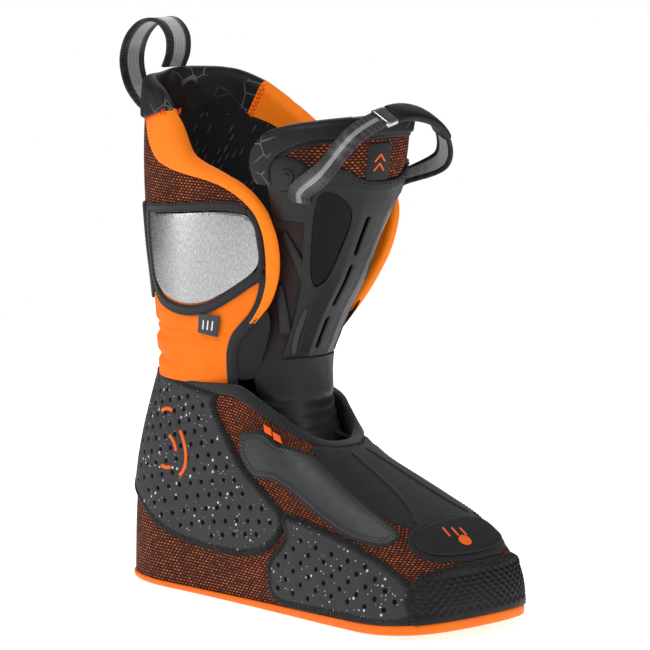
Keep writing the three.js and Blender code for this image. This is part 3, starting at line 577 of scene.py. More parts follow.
def sweep(name, rows, lengths, offsets, material, closed=False):
    """A closed tube whose long rows of points are given, going round its section."""
    count, around = len(rows[0]), len(rows)
    points = np.vstack(rows)
    faces, corners = [], []
    spans = count if closed else count - 1
    for k in range(around):
        n = (k + 1) % around
        for i in range(spans):
            j = (i + 1) % count
            faces.append((k * count + i, n * count + i, n * count + j, k * count + j))
            u0, u1 = lengths[i], lengths[i] + (lengths[1] - lengths[0])
            corners += [(u0, offsets[k]), (u0, offsets[n]), (u1, offsets[n]), (u1, offsets[k])]
    if not closed:
        faces.append(tuple(k * count for k in reversed(range(around))))
        corners += [(lengths[0], offsets[k]) for k in reversed(range(around))]
        faces.append(tuple(k * count + count - 1 for k in range(around)))
        corners += [(lengths[-1], offsets[k]) for k in range(around)]
    piece = make_object(name, points, faces, material, corner_uv=corners)
    outward(piece)
    return piece


def outward(piece):
    """Turns a closed piece's faces outwards."""
    bm = bmesh.new()
    bm.from_mesh(piece.data)
    bmesh.ops.recalc_face_normals(bm, faces=bm.faces)
    bm.to_mesh(piece.data)
    bm.free()


def stitches(name, starts, ends, normals, material, radius=0.28, arch=0.35):
    """Short threads from starts to ends, arched away from the surface, as one object."""
    shares = np.array([0, 0.12, 0.5, 0.88, 1.0])
    widths = np.array([0.35, 0.95, 1.0, 0.95, 0.35])
    lifts = np.array([-0.25, 0.35, 1.0, 0.35, -0.25])
    sides = 5
    span = ends - starts
    along = span / np.linalg.norm(span, axis=1)[:, None]
    side = np.cross(along, normals)
    side /= np.linalg.norm(side, axis=1)[:, None]
    up = np.cross(side, along)
    angles = np.arange(sides) * 2 * math.pi / sides
    rings = []
    for share, width, lift in zip(shares, widths, lifts):
        centre = starts + span * share + normals * (arch * lift)
        for angle in angles:
            rings.append(centre + radius * width * (side * math.cos(angle) + up * math.sin(angle)))
    points = np.stack(rings, 1).reshape(-1, 3)
    each = len(shares) * sides
    template = []
    for r in range(len(shares) - 1):
        for k in range(sides):
            n = (k + 1) % sides
            template.append((r * sides + k, r * sides + n, (r + 1) * sides + n, (r + 1) * sides + k))
    caps = [tuple(reversed(range(sides))), tuple(each - sides + k for k in range(sides))]
    faces = [tuple(v + i * each for v in f) for i in range(len(starts)) for f in template + caps]
    piece = make_object(name, points, faces, material)
    outward(piece)
    return piece


def shape_of(piece):
    """A piece's points as its modifiers leave them, in millimetres, and its faces."""
    solid = piece.evaluated_get(bpy.context.evaluated_depsgraph_get()).to_mesh()
    points = np.empty(len(solid.vertices) * 3)
    solid.vertices.foreach_get("co", points)
    return points.reshape(-1, 3) / MM, [tuple(f.vertices) for f in solid.polygons]


PUFF_VOXEL = 3.6
PUFF_PRESSURE = 4.0
PUFF_CAP = 1.3
PUFF_FRAMES = 20


def puff(piece, still):
    """Blows a padded piece up as cloth and takes over the bulges, which fade out near its sewn line."""
    remesh = piece.modifiers.new("voxels", "REMESH")
    remesh.mode = "VOXEL"
    remesh.voxel_size = PUFF_VOXEL * MM
    before, faces = shape_of(piece)
    piece.modifiers.remove(remesh)
    bag = make_object(f"{piece.name}_bag", before, faces, "foam")
    cloth = bag.modifiers.new("cloth", "CLOTH")
    cloth.settings.use_pressure = True
    cloth.settings.uniform_pressure_force = PUFF_PRESSURE
    cloth.settings.shrink_min = -0.06
    cloth.settings.effector_weights.gravity = 0
    cloth.point_cache.frame_end = PUFF_FRAMES
    for number in range(1, PUFF_FRAMES + 1):
        bpy.context.scene.frame_set(number)
    change = shape_of(bag)[0] - before
    bpy.context.scene.frame_set(1)
    bpy.data.objects.remove(bag)
    tree = kdtree.KDTree(len(before))
    for k, point in enumerate(before):
        tree.insert(point, k)
    tree.balance()
    points = np.empty(len(piece.data.vertices) * 3)
    piece.data.vertices.foreach_get("co", points)
    points = points.reshape(-1, 3) / MM
    shift = np.empty_like(points)
    for k, point in enumerate(points):
        near = tree.find_n(point, 6)
        weights = np.array([1 / (away**2 + 0.5) for _, _, away in near])
        shift[k] = (change[[index for _, index, _ in near]] * weights[:, None]).sum(0) / weights.sum()
    size = np.linalg.norm(shift, axis=1)[:, None] + 1e-9
    shift *= PUFF_CAP * np.tanh(size / PUFF_CAP) / size
    shift *= smoothstep(distance_to(points, still, closed=False), 0.5, 7)[:, None]
    piece.data.vertices.foreach_set("co", ((points + shift) * MM).ravel())
    piece.data.update()


def running_stitch(name, surface, line, height, material, length=2.2, gap=0.9, radius=0.26, closed=False):
    """A straight row of stitches along a line on a surface."""
    path = even(surface, line, (length + gap) / 2, closed)
    starts, ends = path[0:-1:2], path[1::2]
    count = min(len(starts), len(ends))
    starts, ends = starts[:count], ends[:count]
    ends = starts + (ends - starts) * (2 * length / (length + gap))
    p = surface.place(*starts.T, layer_at(height, *starts.T))
    q = surface.place(*ends.T, layer_at(height, *ends.T))
    return stitches(name, p, q, surface.normal(*starts.T), material, radius)


def whip_stitch(name, surface, line, heights, material, reach, pitch, closed, radius):
    """Overlock stitches that cross a line at right angles, a little uneven, as sewing is."""
    path = even(surface, line, pitch, closed)
    spread = ((0.75, 1.15), (0.75, 1.15), (-0.3, 0.3))
    jitter = np.array([[RANDOM.uniform(*limits) for limits in spread] for _ in path])
    shift = np.roll(path, -1, 0) - path if closed else np.gradient(path, axis=0)
    shift = np.where(np.abs(shift) > 50 * np.median(np.abs(shift), axis=0), 0, shift)
    starts = moved(surface, path, -reach * jitter[:, 0], closed)
    ends = moved(surface, path, reach * jitter[:, 1], closed) + shift * (0.5 + jitter[:, 2:3])
    for spots in (starts, ends):
        spots[:, 1] = np.clip(spots[:, 1], *surface.b_range)
    p = surface.place(*starts.T, heights[0])
    q = surface.place(*ends.T, heights[1])
    return stitches(name, p, q, surface.normal(*path.T), material, radius, arch=0.9)


SIDES = (("lateral", 1), ("medial", -1))


def turned(points, flip):
    """Points drawn for the lateral side, mirrored for the medial side when flip is -1."""
    return [(a * flip, b) for a, b in points]


def on_stations(outline):
    """Outline points given as shares of the way round the foot."""
    return [(u * STATION_COUNT, t) for u, t in outline]


def finish_piece(piece, body, slot, *nodes):
    """A piece that rides on one body and may stand for CAD nodes."""
    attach(piece, body)
    if nodes:
        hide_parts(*nodes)


def blend_piece(piece, a, b, start, end, slot, *nodes):
    """A piece with its placement baked into its mesh, which hides the CAD nodes it stands for."""
    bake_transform(piece)
    if nodes:
        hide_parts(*nodes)


# ---- materials ---------------------------------------------------------------------------------------
def linear(code):
    """An sRGB colour code as linear RGBA."""
    values = [int(code[i:i + 2], 16) / 255 for i in (1, 3, 5)]
    return (*[v / 12.92 if v <= 0.04045 else ((v + 0.055) / 1.055) ** 2.4 for v in values], 1)


class Shader:
    """A Principled material with short ways to add procedural detail."""

    def __init__(self, name, color, roughness, metallic=0.0, **sockets):
        self.material = bpy.data.materials.new(name)
        self.material.use_nodes = True
        self.tree = self.material.node_tree
        self.bsdf = self.tree.nodes["Principled BSDF"]
        self.color = linear(color)
        self.bsdf.inputs["Base Color"].default_value = self.color
        self.bsdf.inputs["Roughness"].default_value = roughness
        self.bsdf.inputs["Metallic"].default_value = metallic
        self.bsdf.inputs["Specular IOR Level"].default_value = 0.3
        for socket, value in sockets.items():
            self.bsdf.inputs[socket.replace("_", " ")].default_value = value

    def link(self, source, target):
        if hasattr(source, "is_output"):
            self.tree.links.new(source, target)
        else:
            target.default_value = source

    def math(self, operation, *values):
        node = self.tree.nodes.new("ShaderNodeMath")
        node.operation = operation
        for value, socket in zip(values, node.inputs):
            self.link(value, socket)
        return node.outputs[0]

    def ramp(self, value, low, high, to_low=0.0, to_high=1.0):
        """value from low..high to to_low..to_high, smoothly and clamped."""
        node = self.tree.nodes.new("ShaderNodeMapRange")
        node.interpolation_type = "SMOOTHSTEP"
        for socket, v in zip(node.inputs, (value, low, high, to_low, to_high)):
            self.link(v, socket)
        return node.outputs[0]

    def pattern(self):
        """Pattern coordinates in millimetres, as x and y."""
        node = self.tree.nodes.new("ShaderNodeUVMap")
        node.uv_map = "pattern"
        split = self.tree.nodes.new("ShaderNodeSeparateXYZ")
        self.tree.links.new(node.outputs[0], split.inputs[0])
        return [self.math("MULTIPLY", split.outputs[i], 1000.0) for i in (0, 1)]

    def place(self):
        """Object coordinates, in metres."""
        return self.tree.nodes.new("ShaderNodeTexCoord").outputs["Object"]

    def join(self, x, y, z=0.0):
        node = self.tree.nodes.new("ShaderNodeCombineXYZ")
        for value, socket in zip((x, y, z), node.inputs):
            self.link(value, socket)
        return node.outputs[0]

    def noise(self, size, detail, vector=None):
        """Noise whose features are about size metres across."""
        node = self.tree.nodes.new("ShaderNodeTexNoise")
        self.tree.links.new(vector or self.place(), node.inputs["Vector"])
        node.inputs["Scale"].default_value = 1 / size
        node.inputs["Detail"].default_value = detail
        return node.outputs["Fac"]

    def cells(self, size, feature="F1", vector=None, output="Distance"):
        node = self.tree.nodes.new("ShaderNodeTexVoronoi")
        node.feature = feature
        self.tree.links.new(vector or self.place(), node.inputs["Vector"])
        node.inputs["Scale"].default_value = 1 / size
        return node.outputs[output]

    def white(self, vector):
        node = self.tree.nodes.new("ShaderNodeTexWhiteNoise")
        self.tree.links.new(vector, node.inputs["Vector"])
        return node.outputs["Value"]

    def attribute(self, name):
        node = self.tree.nodes.new("ShaderNodeAttribute")
        node.attribute_name = name
        return node.outputs["Fac"]

    def mix(self, share, first, second):
        node = self.tree.nodes.new("ShaderNodeMix")
        node.data_type = "RGBA"
        self.link(share, node.inputs["Factor"])
        for name, value in (("A", first), ("B", second)):
            sockets = [s for s in node.inputs if s.name == name and s.type == "RGBA"]
            self.link(value, sockets[0])
        return [s for s in node.outputs if s.type == "RGBA"][0]

    def paint(self, color):
        self.link(color, self.bsdf.inputs["Base Color"])

    def glow(self, strength):
        """A painted glow: emission in the material's own colour, which makes it brighter than its lighting
        gives.
        """
        self.bsdf.inputs["Emission Color"].default_value = self.color
        self.bsdf.inputs["Emission Strength"].default_value = strength

    def rough(self, value):
        self.link(value, self.bsdf.inputs["Roughness"])

    def bump(self, height, depth):
        """height from 0 to 1, raised by depth metres."""
        node = self.tree.nodes.new("ShaderNodeBump")
        node.inputs["Distance"].default_value = depth
        self.tree.links.new(height, node.inputs["Height"])
        previous = self.bsdf.inputs["Normal"]
        if previous.is_linked:
            self.tree.links.new(previous.links[0].from_socket, node.inputs["Normal"])
        self.tree.links.new(node.outputs[0], previous)


def staggered(shader, x, y, pitch_x, pitch_y):
    """Offsets from the middle of a brick-like cell, in millimetres, and a random number for each cell."""
    row = shader.math("FLOOR", shader.math("DIVIDE", y, pitch_y))
    shift = shader.math("MULTIPLY", shader.math("PINGPONG", row, 1.0), 0.5)
    column = shader.math("ADD", shader.math("DIVIDE", x, pitch_x), shift)
    cell = shader.math("FLOOR", column)
    dx = shader.math("MULTIPLY", shader.math("SUBTRACT", shader.math("FRACT", column), 0.5), pitch_x)
    dy = shader.math("SUBTRACT", shader.math("FRACT", shader.math("DIVIDE", y, pitch_y)), 0.5)
    return dx, shader.math("MULTIPLY", dy, pitch_y), shader.white(shader.join(cell, row, 3.0))


def ellipse(shader, dx, dy, rx, ry):
    x = shader.math("POWER", shader.math("DIVIDE", dx, rx), 2.0)
    y = shader.math("POWER", shader.math("DIVIDE", dy, ry), 2.0)
    return shader.math("ADD", x, y)


def weave(shader, depth, pitch):
    """A fine plain weave, as bump."""
    x, y = shader.pattern()
    across = shader.math("SINE", shader.math("MULTIPLY", x, 2 * math.pi / pitch))
    up = shader.math("SINE", shader.math("MULTIPLY", y, 2 * math.pi / pitch))
    height = shader.math("MULTIPLY_ADD", shader.math("MULTIPLY", across, up), 0.5, 0.5)
    shader.bump(height, depth)


def shades(color, spread):
    """A slightly darker and a slightly lighter shade of a colour."""
    dark = tuple(c * (1 - spread) for c in color[:3]) + (1,)
    return dark, tuple(min(1, c * (1 + spread)) for c in color[:3]) + (1,)


def spacer_mesh_material():
    """Two-layer mesh: a dark net over an orange ground that shows in small staggered eyes."""
    s = Shader("spacer_mesh", "#2b1712", 0.85)
    x, y = s.pattern()
    dx, dy, chance = staggered(s, x, y, 2.9, 1.8)
    eye = s.ramp(ellipse(s, dx, dy, 0.9, 0.42), 1.5, 0.5)
    glow = s.mix(chance, linear("#8a2f0c"), linear("#f07a2c"))
    patch = s.ramp(s.noise(0.02, 2), 0.35, 0.65, 0.65, 1.0)
    ground = s.mix(s.noise(0.0012, 1), linear("#170d0b"), linear("#3a170f"))
    s.paint(s.mix(s.math("MULTIPLY", eye, patch), ground, glow))
    s.bump(s.math("SUBTRACT", 1.0, eye), 0.00035)
    return s.material


def speckled_eva_material():
    """Grey foam with pale recycled flakes. Its perforations are painted from grey to near black with depth:
    partly a black base, partly painted shade down their walls.
    """
    s = Shader("speckled_eva", "#4b4b4d", 0.72)
    bend = s.math("MULTIPLY", s.noise(0.0012, 2), 0.0018)
    place = s.tree.nodes.new("ShaderNodeVectorMath")
    place.operation = "ADD"
    s.tree.links.new(s.place(), place.inputs[0])
    s.tree.links.new(s.join(bend, bend, bend), place.inputs[1])
    spots = place.outputs[0]
    flakes = None
    for size, reach, share in ((0.0042, 0.21, 0.7), (0.0021, 0.2, 0.78)):
        near = s.ramp(s.cells(size, vector=spots), reach, reach * 0.75)
        tint = s.tree.nodes.new("ShaderNodeSeparateColor")
        s.tree.links.new(s.cells(size, vector=spots, output="Color"), tint.inputs[0])
        chosen = s.math("GREATER_THAN", tint.outputs[0], share)
        part = s.math("MULTIPLY", near, chosen)
        flakes = part if flakes is None else s.math("MAXIMUM", flakes, part)
    grey = s.mix(s.noise(0.012, 3), linear("#303032"), linear("#3f3f41"))
    color = s.mix(flakes, grey, linear("#dcdcdc"))
    # Painted shade: the pit attribute darkens each perforation towards near black with depth, part black base
    # and part shade.
    s.paint(s.mix(s.ramp(s.attribute("pit"), 0.05, 0.5), color, linear("#0b0b0b")))
    s.bump(s.noise(0.0009, 3), 0.00012)
    return s.material


def fabric_material(name, color, roughness=0.85, depth=0.0001, pitch=0.7, spread=0.12, sheen=0.15, glow=0):
    """Woven or knitted fabric with slight shade changes. glow is a painted glow: emission in the fabric's own
    colour.
    """
    s = Shader(name, color, roughness, Sheen_Weight=sheen)
    s.paint(s.mix(s.ramp(s.noise(0.01, 3), 0.3, 0.7), *shades(s.color, spread)))
    s.glow(glow)
    weave(s, depth, pitch)
    return s.material


def smooth_material(name, color, roughness, grain=0.0007, depth=0.00006, spread=0.08, metallic=0.0,
                    **sockets):
    """Moulded plastic, rubber or film with a faint grain."""
    s = Shader(name, color, roughness, metallic, **sockets)
    s.paint(s.mix(s.ramp(s.noise(0.014, 3), 0.3, 0.7), *shades(s.color, spread)))
    s.rough(s.ramp(s.noise(0.006, 3), 0.2, 0.8, max(0.02, roughness - 0.07), roughness + 0.07))
    s.bump(s.noise(grain, 3), depth)
    return s.material


def dashed_material(name, color, dash, share, roughness=0.8):
    """Dark lining fabric with short slanted dashes woven into it."""
    s = Shader(name, color, roughness, Sheen_Weight=0.2)
    x, y = s.pattern()
    turn = math.radians(58)
    u = s.math("ADD", s.math("MULTIPLY", x, math.cos(turn)), s.math("MULTIPLY", y, math.sin(turn)))
    v = s.math("SUBTRACT", s.math("MULTIPLY", y, math.cos(turn)), s.math("MULTIPLY", x, math.sin(turn)))
    du, dv, chance = staggered(s, u, v, 9.0, 3.4)
    mark = s.ramp(ellipse(s, du, dv, 3.3, 0.28), 1.2, 0.5)
    shown = s.math("MULTIPLY", mark, s.math("GREATER_THAN", chance, 1 - share))
    base = s.mix(s.noise(0.012, 3), s.color, tuple(c * 1.35 for c in s.color[:3]) + (1,))
    s.paint(s.mix(s.math("MULTIPLY", shown, 0.7), base, linear(dash)))
    s.bump(shown, 0.0001)
    weave(s, 0.00006, 0.8)
    return s.material


def reflective_material():
    """Silver reflective cloth: a fine uneven weave of bright beads."""
    s = Shader("reflective_silver", "#c9c9ca", 0.36, 0.9)
    x, y = s.pattern()
    thread = s.noise(1.0, 3, s.join(s.math("MULTIPLY", x, 1.6), s.math("MULTIPLY", y, 0.35)))
    grain = s.noise(0.0008, 2)
    s.paint(s.mix(s.math("MULTIPLY", thread, grain), linear("#7d7d80"), linear("#f2f2f2")))
    s.rough(s.ramp(s.noise(0.0015, 3), 0.3, 0.7, 0.2, 0.3))
    s.bump(thread, 0.000018)
    weave(s, 0.000008, 0.9)
    return s.material


def webbing_material(name, half, centre, middle, edge):
    """Ribbed strap webbing with a pale reflective stripe down the middle."""
    s = Shader(name, edge, 0.6)
    x, y = s.pattern()
    away = s.math("ABSOLUTE", y)
    stripe = s.ramp(away, centre + 0.4, centre - 0.4)
    fine = s.math("SINE", s.math("MULTIPLY", y, 2 * math.pi / 1.3))
    rib = s.math("SINE", s.math("MULTIPLY", x, 2 * math.pi / 1.05))
    pale = s.mix(s.ramp(fine, -0.2, 1.0), linear(middle), linear("#6d6d6e"))
    dark = s.mix(s.ramp(rib, -1.0, 1.0), linear(edge), linear("#4c4c4d"))
    s.paint(s.mix(stripe, dark, pale))
    s.rough(s.ramp(away, half, centre, 0.75, 0.35))
    s.bump(s.math("MULTIPLY_ADD", rib, 0.5, 0.5), 0.00022)
    return s.material


def ribbed_tape_material(name="ribbed_tape", color="#1d1d1e", light="#2c2c2d"):
    """Grosgrain edge tape with fine cross ribs."""
    s = Shader(name, color, 0.8, Sheen_Weight=0.2)
    x, _ = s.pattern()
    rib = s.math("SINE", s.math("MULTIPLY", x, 2 * math.pi / 0.8))
    s.paint(s.mix(s.math("MULTIPLY", s.ramp(rib, -1, 1), s.noise(0.0015, 2)), s.color, linear(light)))
    s.bump(s.math("MULTIPLY_ADD", rib, 0.5, 0.5), 0.00015)
    return s.material


def creased_black_material():
    """Smooth padded cover with fine pale creases where it has been bent."""
    s = Shader("padded_black", "#1c1c1d", 0.55)
    edge = s.cells(0.011, "DISTANCE_TO_EDGE")
    crease = s.ramp(edge, 0.045, 0.0)
    where = s.ramp(s.noise(0.03, 2), 0.5, 0.62)
    base = s.mix(s.noise(0.008, 4), linear("#171718"), linear("#252526"))
    s.paint(s.mix(s.math("MULTIPLY", crease, s.math("MULTIPLY", where, 0.55)), base, linear("#9a9a9a")))
    s.bump(s.math("SUBTRACT", 1.0, s.math("MULTIPLY", crease, where)), 0.0002)
    s.bump(s.noise(0.0012, 3), 0.00008)
    return s.material


MATERIALS = {
    "mesh": spacer_mesh_material(),
    "eva": speckled_eva_material(),
    "overlay": smooth_material("smooth_overlay", "#3f4041", 0.45, depth=0.00004),
    "tape": ribbed_tape_material(),
    "overlock": ribbed_tape_material("overlock_tape", "#141415", "#212122"),
    # The two orange fabrics get a painted glow (their last argument): emission that brightens them beyond
    # their lighting.
    "stretch_orange": fabric_material("stretch_orange", "#ff7708", 0.8, 0.00005, 0.55, 0.06, 0, 0.1),
    "padded_orange": fabric_material("padded_orange", "#ff800c", 0.7, 0.00003, 0.5, 0.05, 0, 0.16),
    "padded_black": creased_black_material(),
    "stretch_black": fabric_material("stretch_black", "#1f1f20", 0.82, 0.00006, 0.6),
    # Painted shade: the tongue's side cover is a dark red-brown that stands for orange fabric lying in shade.
    "tongue_side_painted_shade": fabric_material("tongue_side_painted_shade", "#1f0f0f", 0.6, 0.00005, 0.6, 0.3),
    "lining": dashed_material("lining_fabric", "#121213", "#7d7d7d", 0.35),
    "silver": reflective_material(),
    "webbing_wide": webbing_material("loop_webbing", 10.5, 5.0, "#d8d8d8", "#1b1b1c"),
    "webbing": webbing_material("strap_webbing", 7.0, 1.6, "#a9a9aa", "#3a3838"),
    "webbing_pale": webbing_material("strap_webbing_inner", 7.0, 4.0, "#e4e4e4", "#1b1b1c"),
    "sleeve": smooth_material("padded_sleeve", "#19191a", 0.6, depth=0.0001),
    "frame": smooth_material("moulded_frame", "#1a1b1b", 0.42),
    "film": smooth_material("window_film", "#030304", 0.18, depth=0.000005, Specular_IOR_Level=0.15),
    "metal": smooth_material("bright_metal", "#c4c4c6", 0.24, depth=0.000005, metallic=1.0),
    "rubber_orange": smooth_material("orange_rubber", "#ff7408", 0.5, depth=0.00008, spread=0.05),
    "rubber_black": smooth_material("toe_rubber", "#151516", 0.5, depth=0.00008),
    "patch": smooth_material("moulded_patch", "#252526", 0.6, depth=0.0001),
    "foam": smooth_material("closed_cell_foam", "#333335", 0.9, grain=0.0015, depth=0.0002),
    "board": fabric_material("fibre_board", "#b7b0a3", 0.9, 0.0001, 1.2),
    "footbed": fabric_material("footbed_cloth", "#3c3c3e", 0.9, 0.0001, 0.9),
    "tag": fabric_material("tag_fabric", "#444549", 0.8, 0.0001, 0.5),
    "thread_black": fabric_material("thread_black", "#131313", 0.7),
    # thread_grey is a painted highlight: a lighter copy of the black overlock thread.
    "thread_grey": smooth_material("thread_grey", "#3b3b3c", 0.6),
    "thread_pale": smooth_material("thread_pale", "#8c8c8c", 0.6),
    "thread_orange": smooth_material("thread_orange", "#ff5a1c", 0.6),
    "print_orange": smooth_material("print_orange", "#ff6a1c", 0.55),
    "print_white": smooth_material("print_white", "#f0f0f0", 0.6),
    "floor": smooth_material("white_floor", "#f6f6f6", 0.9, depth=0.00001, spread=0.0,
                             Emission_Color=(1, 1, 1, 1), Emission_Strength=0.75),
}


# ---- sole and foot -----------------------------------------------------------------------------------
OVERLAY_TOP = 1.0
PANEL_TOP = 1.5
SKIN_TOP = -0.5
SKIN_BASE = -1.3
FOAM_TOP = -1.6
FOAM_GAP = 0.3

SOLE_PROFILE = [
    (-12, 1, -1.9), (-2.0, 1, -1.9), (-1.6, 1, -0.35), (0.1, 1, -0.32), (0.45, 1, -0.7), (0.6, 0.6, 0),
    (0.5, 0.25, 0), (0.1, 0.07, 0), (-0.7, 0, 0), (-6.5, 0, 0), (-7.0, 0, 0.8), (-9.0, 0, 0.8), (-9.5, 0, 0),
    (-20, 0, 0), (-28, 0, 0),
]


def sole_outline(count):
    """Points round the sole's edge, and the level way in from each of them."""
    edge = station_curve(SOLE_POINTS, np.linspace(0, STATION_COUNT, count + 1)[:-1])
    turn = np.roll(edge, -1, 0) - np.roll(edge, 1, 0)
    inward = np.stack([-turn[:, 1], turn[:, 0]], 1) / np.linalg.norm(turn[:, :2], axis=1)[:, None]
    return edge, inward


def stacked(rows):
    """Faces between closed rows of points, and one over the first and the last row."""
    count = len(rows[0])
    faces = []
    for k in range(len(rows) - 1):
        for i in range(count):
            j = (i + 1) % count
            faces.append((k * count + i, k * count + j, (k + 1) * count + j, (k + 1) * count + i))
    return faces + [tuple(k * count + i for i in range(count)) for k in (0, len(rows) - 1)]


def make_outsole():
    """The orange sole: a plate with a rounded side, a groove round its underside and the toe's lift.

    Each row of SOLE_PROFILE is a distance out from the edge, a share of the edge's height and a height more.
    """
    edge, inward = sole_outline(216)
    rows = []
    for out, share, extra in SOLE_PROFILE:
        xy = edge[:, :2] - inward * out
        rows.append(np.column_stack([xy, sole_lift(xy[:, 0]) + sole_edge(edge[:, 0]) * share + extra]))
    lengths = np.concatenate([[0], np.cumsum(np.linalg.norm(np.diff(edge, axis=0, append=edge[:1]), axis=1))])
    corners = []
    for k in range(len(rows) - 1):
        for low, high in zip(lengths, lengths[1:]):
            corners += [(low, k * 2), (high, k * 2), (high, k * 2 + 2), (low, k * 2 + 2)]
    for row in (rows[0], rows[-1]):
        corners += [tuple(p) for p in row[:, :2]]
    piece = make_object("outsole_rubber", np.vstack(rows), stacked(rows), "rubber_orange", corner_uv=corners)
    outward(piece)
    finish_piece(piece, "foot", "orange_rubber", "outsole")


def plate(name, inset, low, high, material, bow=0.0):
    """A footbed layer: the sole's outline moved in, with a rounded top edge and raised sides."""
    edge, inward = sole_outline(144)
    profile = [(20, low, 0), (1, low, 0), (0.1, low + 0.4, 0), (0, high - 0.6, 1), (0.5, high, 1),
               (4, high, 0.7), (9, high, 0.3), (16, high, 0.05), (24, high, 0)]
    rows = []
    for more, height, raised in profile:
        xy = edge[:, :2] + inward * (inset + more)
        z = sole_lift(xy[:, 0]) + sole_edge(edge[:, 0]) + height + bow * raised
        rows.append(np.column_stack([xy, z]))
    points = np.vstack(rows)
    piece = make_object(name, points, stacked(rows), material, point_uv=points[:, :2])
    outward(piece)
    return piece


ANKLE = on_stations([(0.03, 0.975), (0.18, 0.975), (0.19, 0.93), (0.21, 0.81), (0.232, 0.67), (0.258, 0.57),
                     (0.275, 0.47), (0.27, 0.32), (0.25, 0.2), (0.218, 0.15), (0.16, 0.15), (0.125, 0.2),
                     (0.09, 0.3), (0.06, 0.36), (0.035, 0.42), (0.026, 0.6)])
FOREFOOT = on_stations([(0.279, 0.47), (0.311, 0.49), (0.351, 0.46), (0.39, 0.36), (0.414, 0.23),
                        (0.42, 0.13), (0.414, 0.015), (0.338, 0.015), (0.268, 0.015), (0.258, 0.09),
                        (0.262, 0.17), (0.275, 0.26), (0.282, 0.36)])
INSTEP = on_stations([(0.233, 0.85), (0.246, 0.88), (0.263, 0.9), (0.28, 0.885), (0.3, 0.905), (0.335, 0.925),
                      (0.368, 0.87), (0.404, 0.75), (0.426, 0.61), (0.412, 0.53), (0.39, 0.51), (0.354, 0.54),
                      (0.322, 0.62), (0.297, 0.69), (0.272, 0.715), (0.247, 0.68), (0.235, 0.73),
                      (0.23, 0.79)])
GUSSET = on_stations([(0.345, 0.97), (0.5, 0.985), (0.655, 0.97), (0.62, 0.87), (0.59, 0.75), (0.555, 0.64),
                      (0.5, 0.62), (0.445, 0.64), (0.41, 0.75), (0.38, 0.87)])
TOE_CAP = on_stations([(0.424, 0.0), (0.576, 0.0), (0.586, 0.11), (0.572, 0.22), (0.548, 0.285),
                       (0.52, 0.3), (0.48, 0.3), (0.452, 0.285), (0.428, 0.22), (0.414, 0.11)])
PATCH = on_stations([(0.446, 0.57), (0.47, 0.635), (0.5, 0.65), (0.53, 0.635), (0.554, 0.57), (0.556, 0.47),
                     (0.537, 0.405), (0.5, 0.385), (0.463, 0.405), (0.444, 0.47)])


def perforations(surface, loop, pitch_x, pitch_y, turn_degrees, margin):
    """Spots of a staggered grid, drawn on the pattern, that keep clear of the outline."""
    pattern = surface.pattern(loop[:, 0], loop[:, 1])
    low, high = pattern.min(0), pattern.max(0)
    centre = (low + high) / 2
    reach = int(np.linalg.norm(high - low) / min(pitch_x, pitch_y))
    turn = math.radians(turn_degrees)
    spots = []
    for j in range(-reach, reach + 1):
        for i in range(-reach, reach + 1):
            x, y = (i + 0.5 * (j % 2)) * pitch_x, j * pitch_y
            spots.append(centre + (x * math.cos(turn) - y * math.sin(turn),
                                   x * math.sin(turn) + y * math.cos(turn)))
    spots = np.array(spots)
    spots = spots[np.all((spots > low) & (spots < high), axis=1)]
    points = np.stack([np.interp(spots[:, 0], surface.a_length, surface.a_line),
                       np.interp(spots[:, 1], surface.b_length, surface.b_line)], 1)
    points = points[inside(points, loop)]
    gap = distance_to(surface.point(*points.T), surface.point(*loop.T))
    return points[gap > margin]


def overlocked(name, loop, closed=True, inner=PANEL_TOP):
    """The sewn edge of a panel on the foot: a flat dark band with overlock stitches across it."""
    band = tape(f"{name}_overlock_band", FOOT, loop, 4.4, 0.75, -0.6, "overlock", closed=closed, tilt=0.5)
    finish_piece(band, "foot", "binding_tape")
    # The grey threads are painted highlight: a lighter copy of the black overlock thread, standing for light
    # on half the strokes.
    for shade, shift in (("black", 0.0), ("grey", 0.35)):
        path = even(FOOT, loop, 1.0, closed)
        path = path + (np.roll(path, -1, 0) - path) * shift if closed else path
        threads = whip_stitch(f"{name}_overlock_{shade}", FOOT, path, (-0.1 + shift, inner + 0.1),
                              f"thread_{shade}", reach=2.7 - shift, closed=closed,
                              pitch=1.25 if shade == "black" else 2.1, radius=0.3 - shift * 0.25)
        finish_piece(threads, "foot", "binding_tape")


def foot_inner(a, t):
    return -foot_wall(a, t)


def make_foot_walls():
    a = np.linspace(0, STATION_COUNT, 217)
    rows = np.linspace(0, 1, 42)
    skin = ring_sheet("upper_mesh_fabric", FOOT, a, rows, SKIN_TOP, SKIN_BASE, "mesh")
    finish_piece(skin, "foot", "spacer_mesh", "upper_mesh")
    foam = ring_sheet("foot_foam_core", FOOT, a, rows, FOAM_TOP,
                      lambda a, t: foot_inner(a, t) + LINING + FOAM_GAP, "foam")
    finish_piece(foam, "foot", "foam", "foot_foam")
    lining = ring_sheet("foot_lining_fabric", FOOT, a, rows, lambda a, t: foot_inner(a, t) + LINING,
                        foot_inner, "lining")
    finish_piece(lining, "foot", "lining_fabric", "foot_lining")
    make_collar()


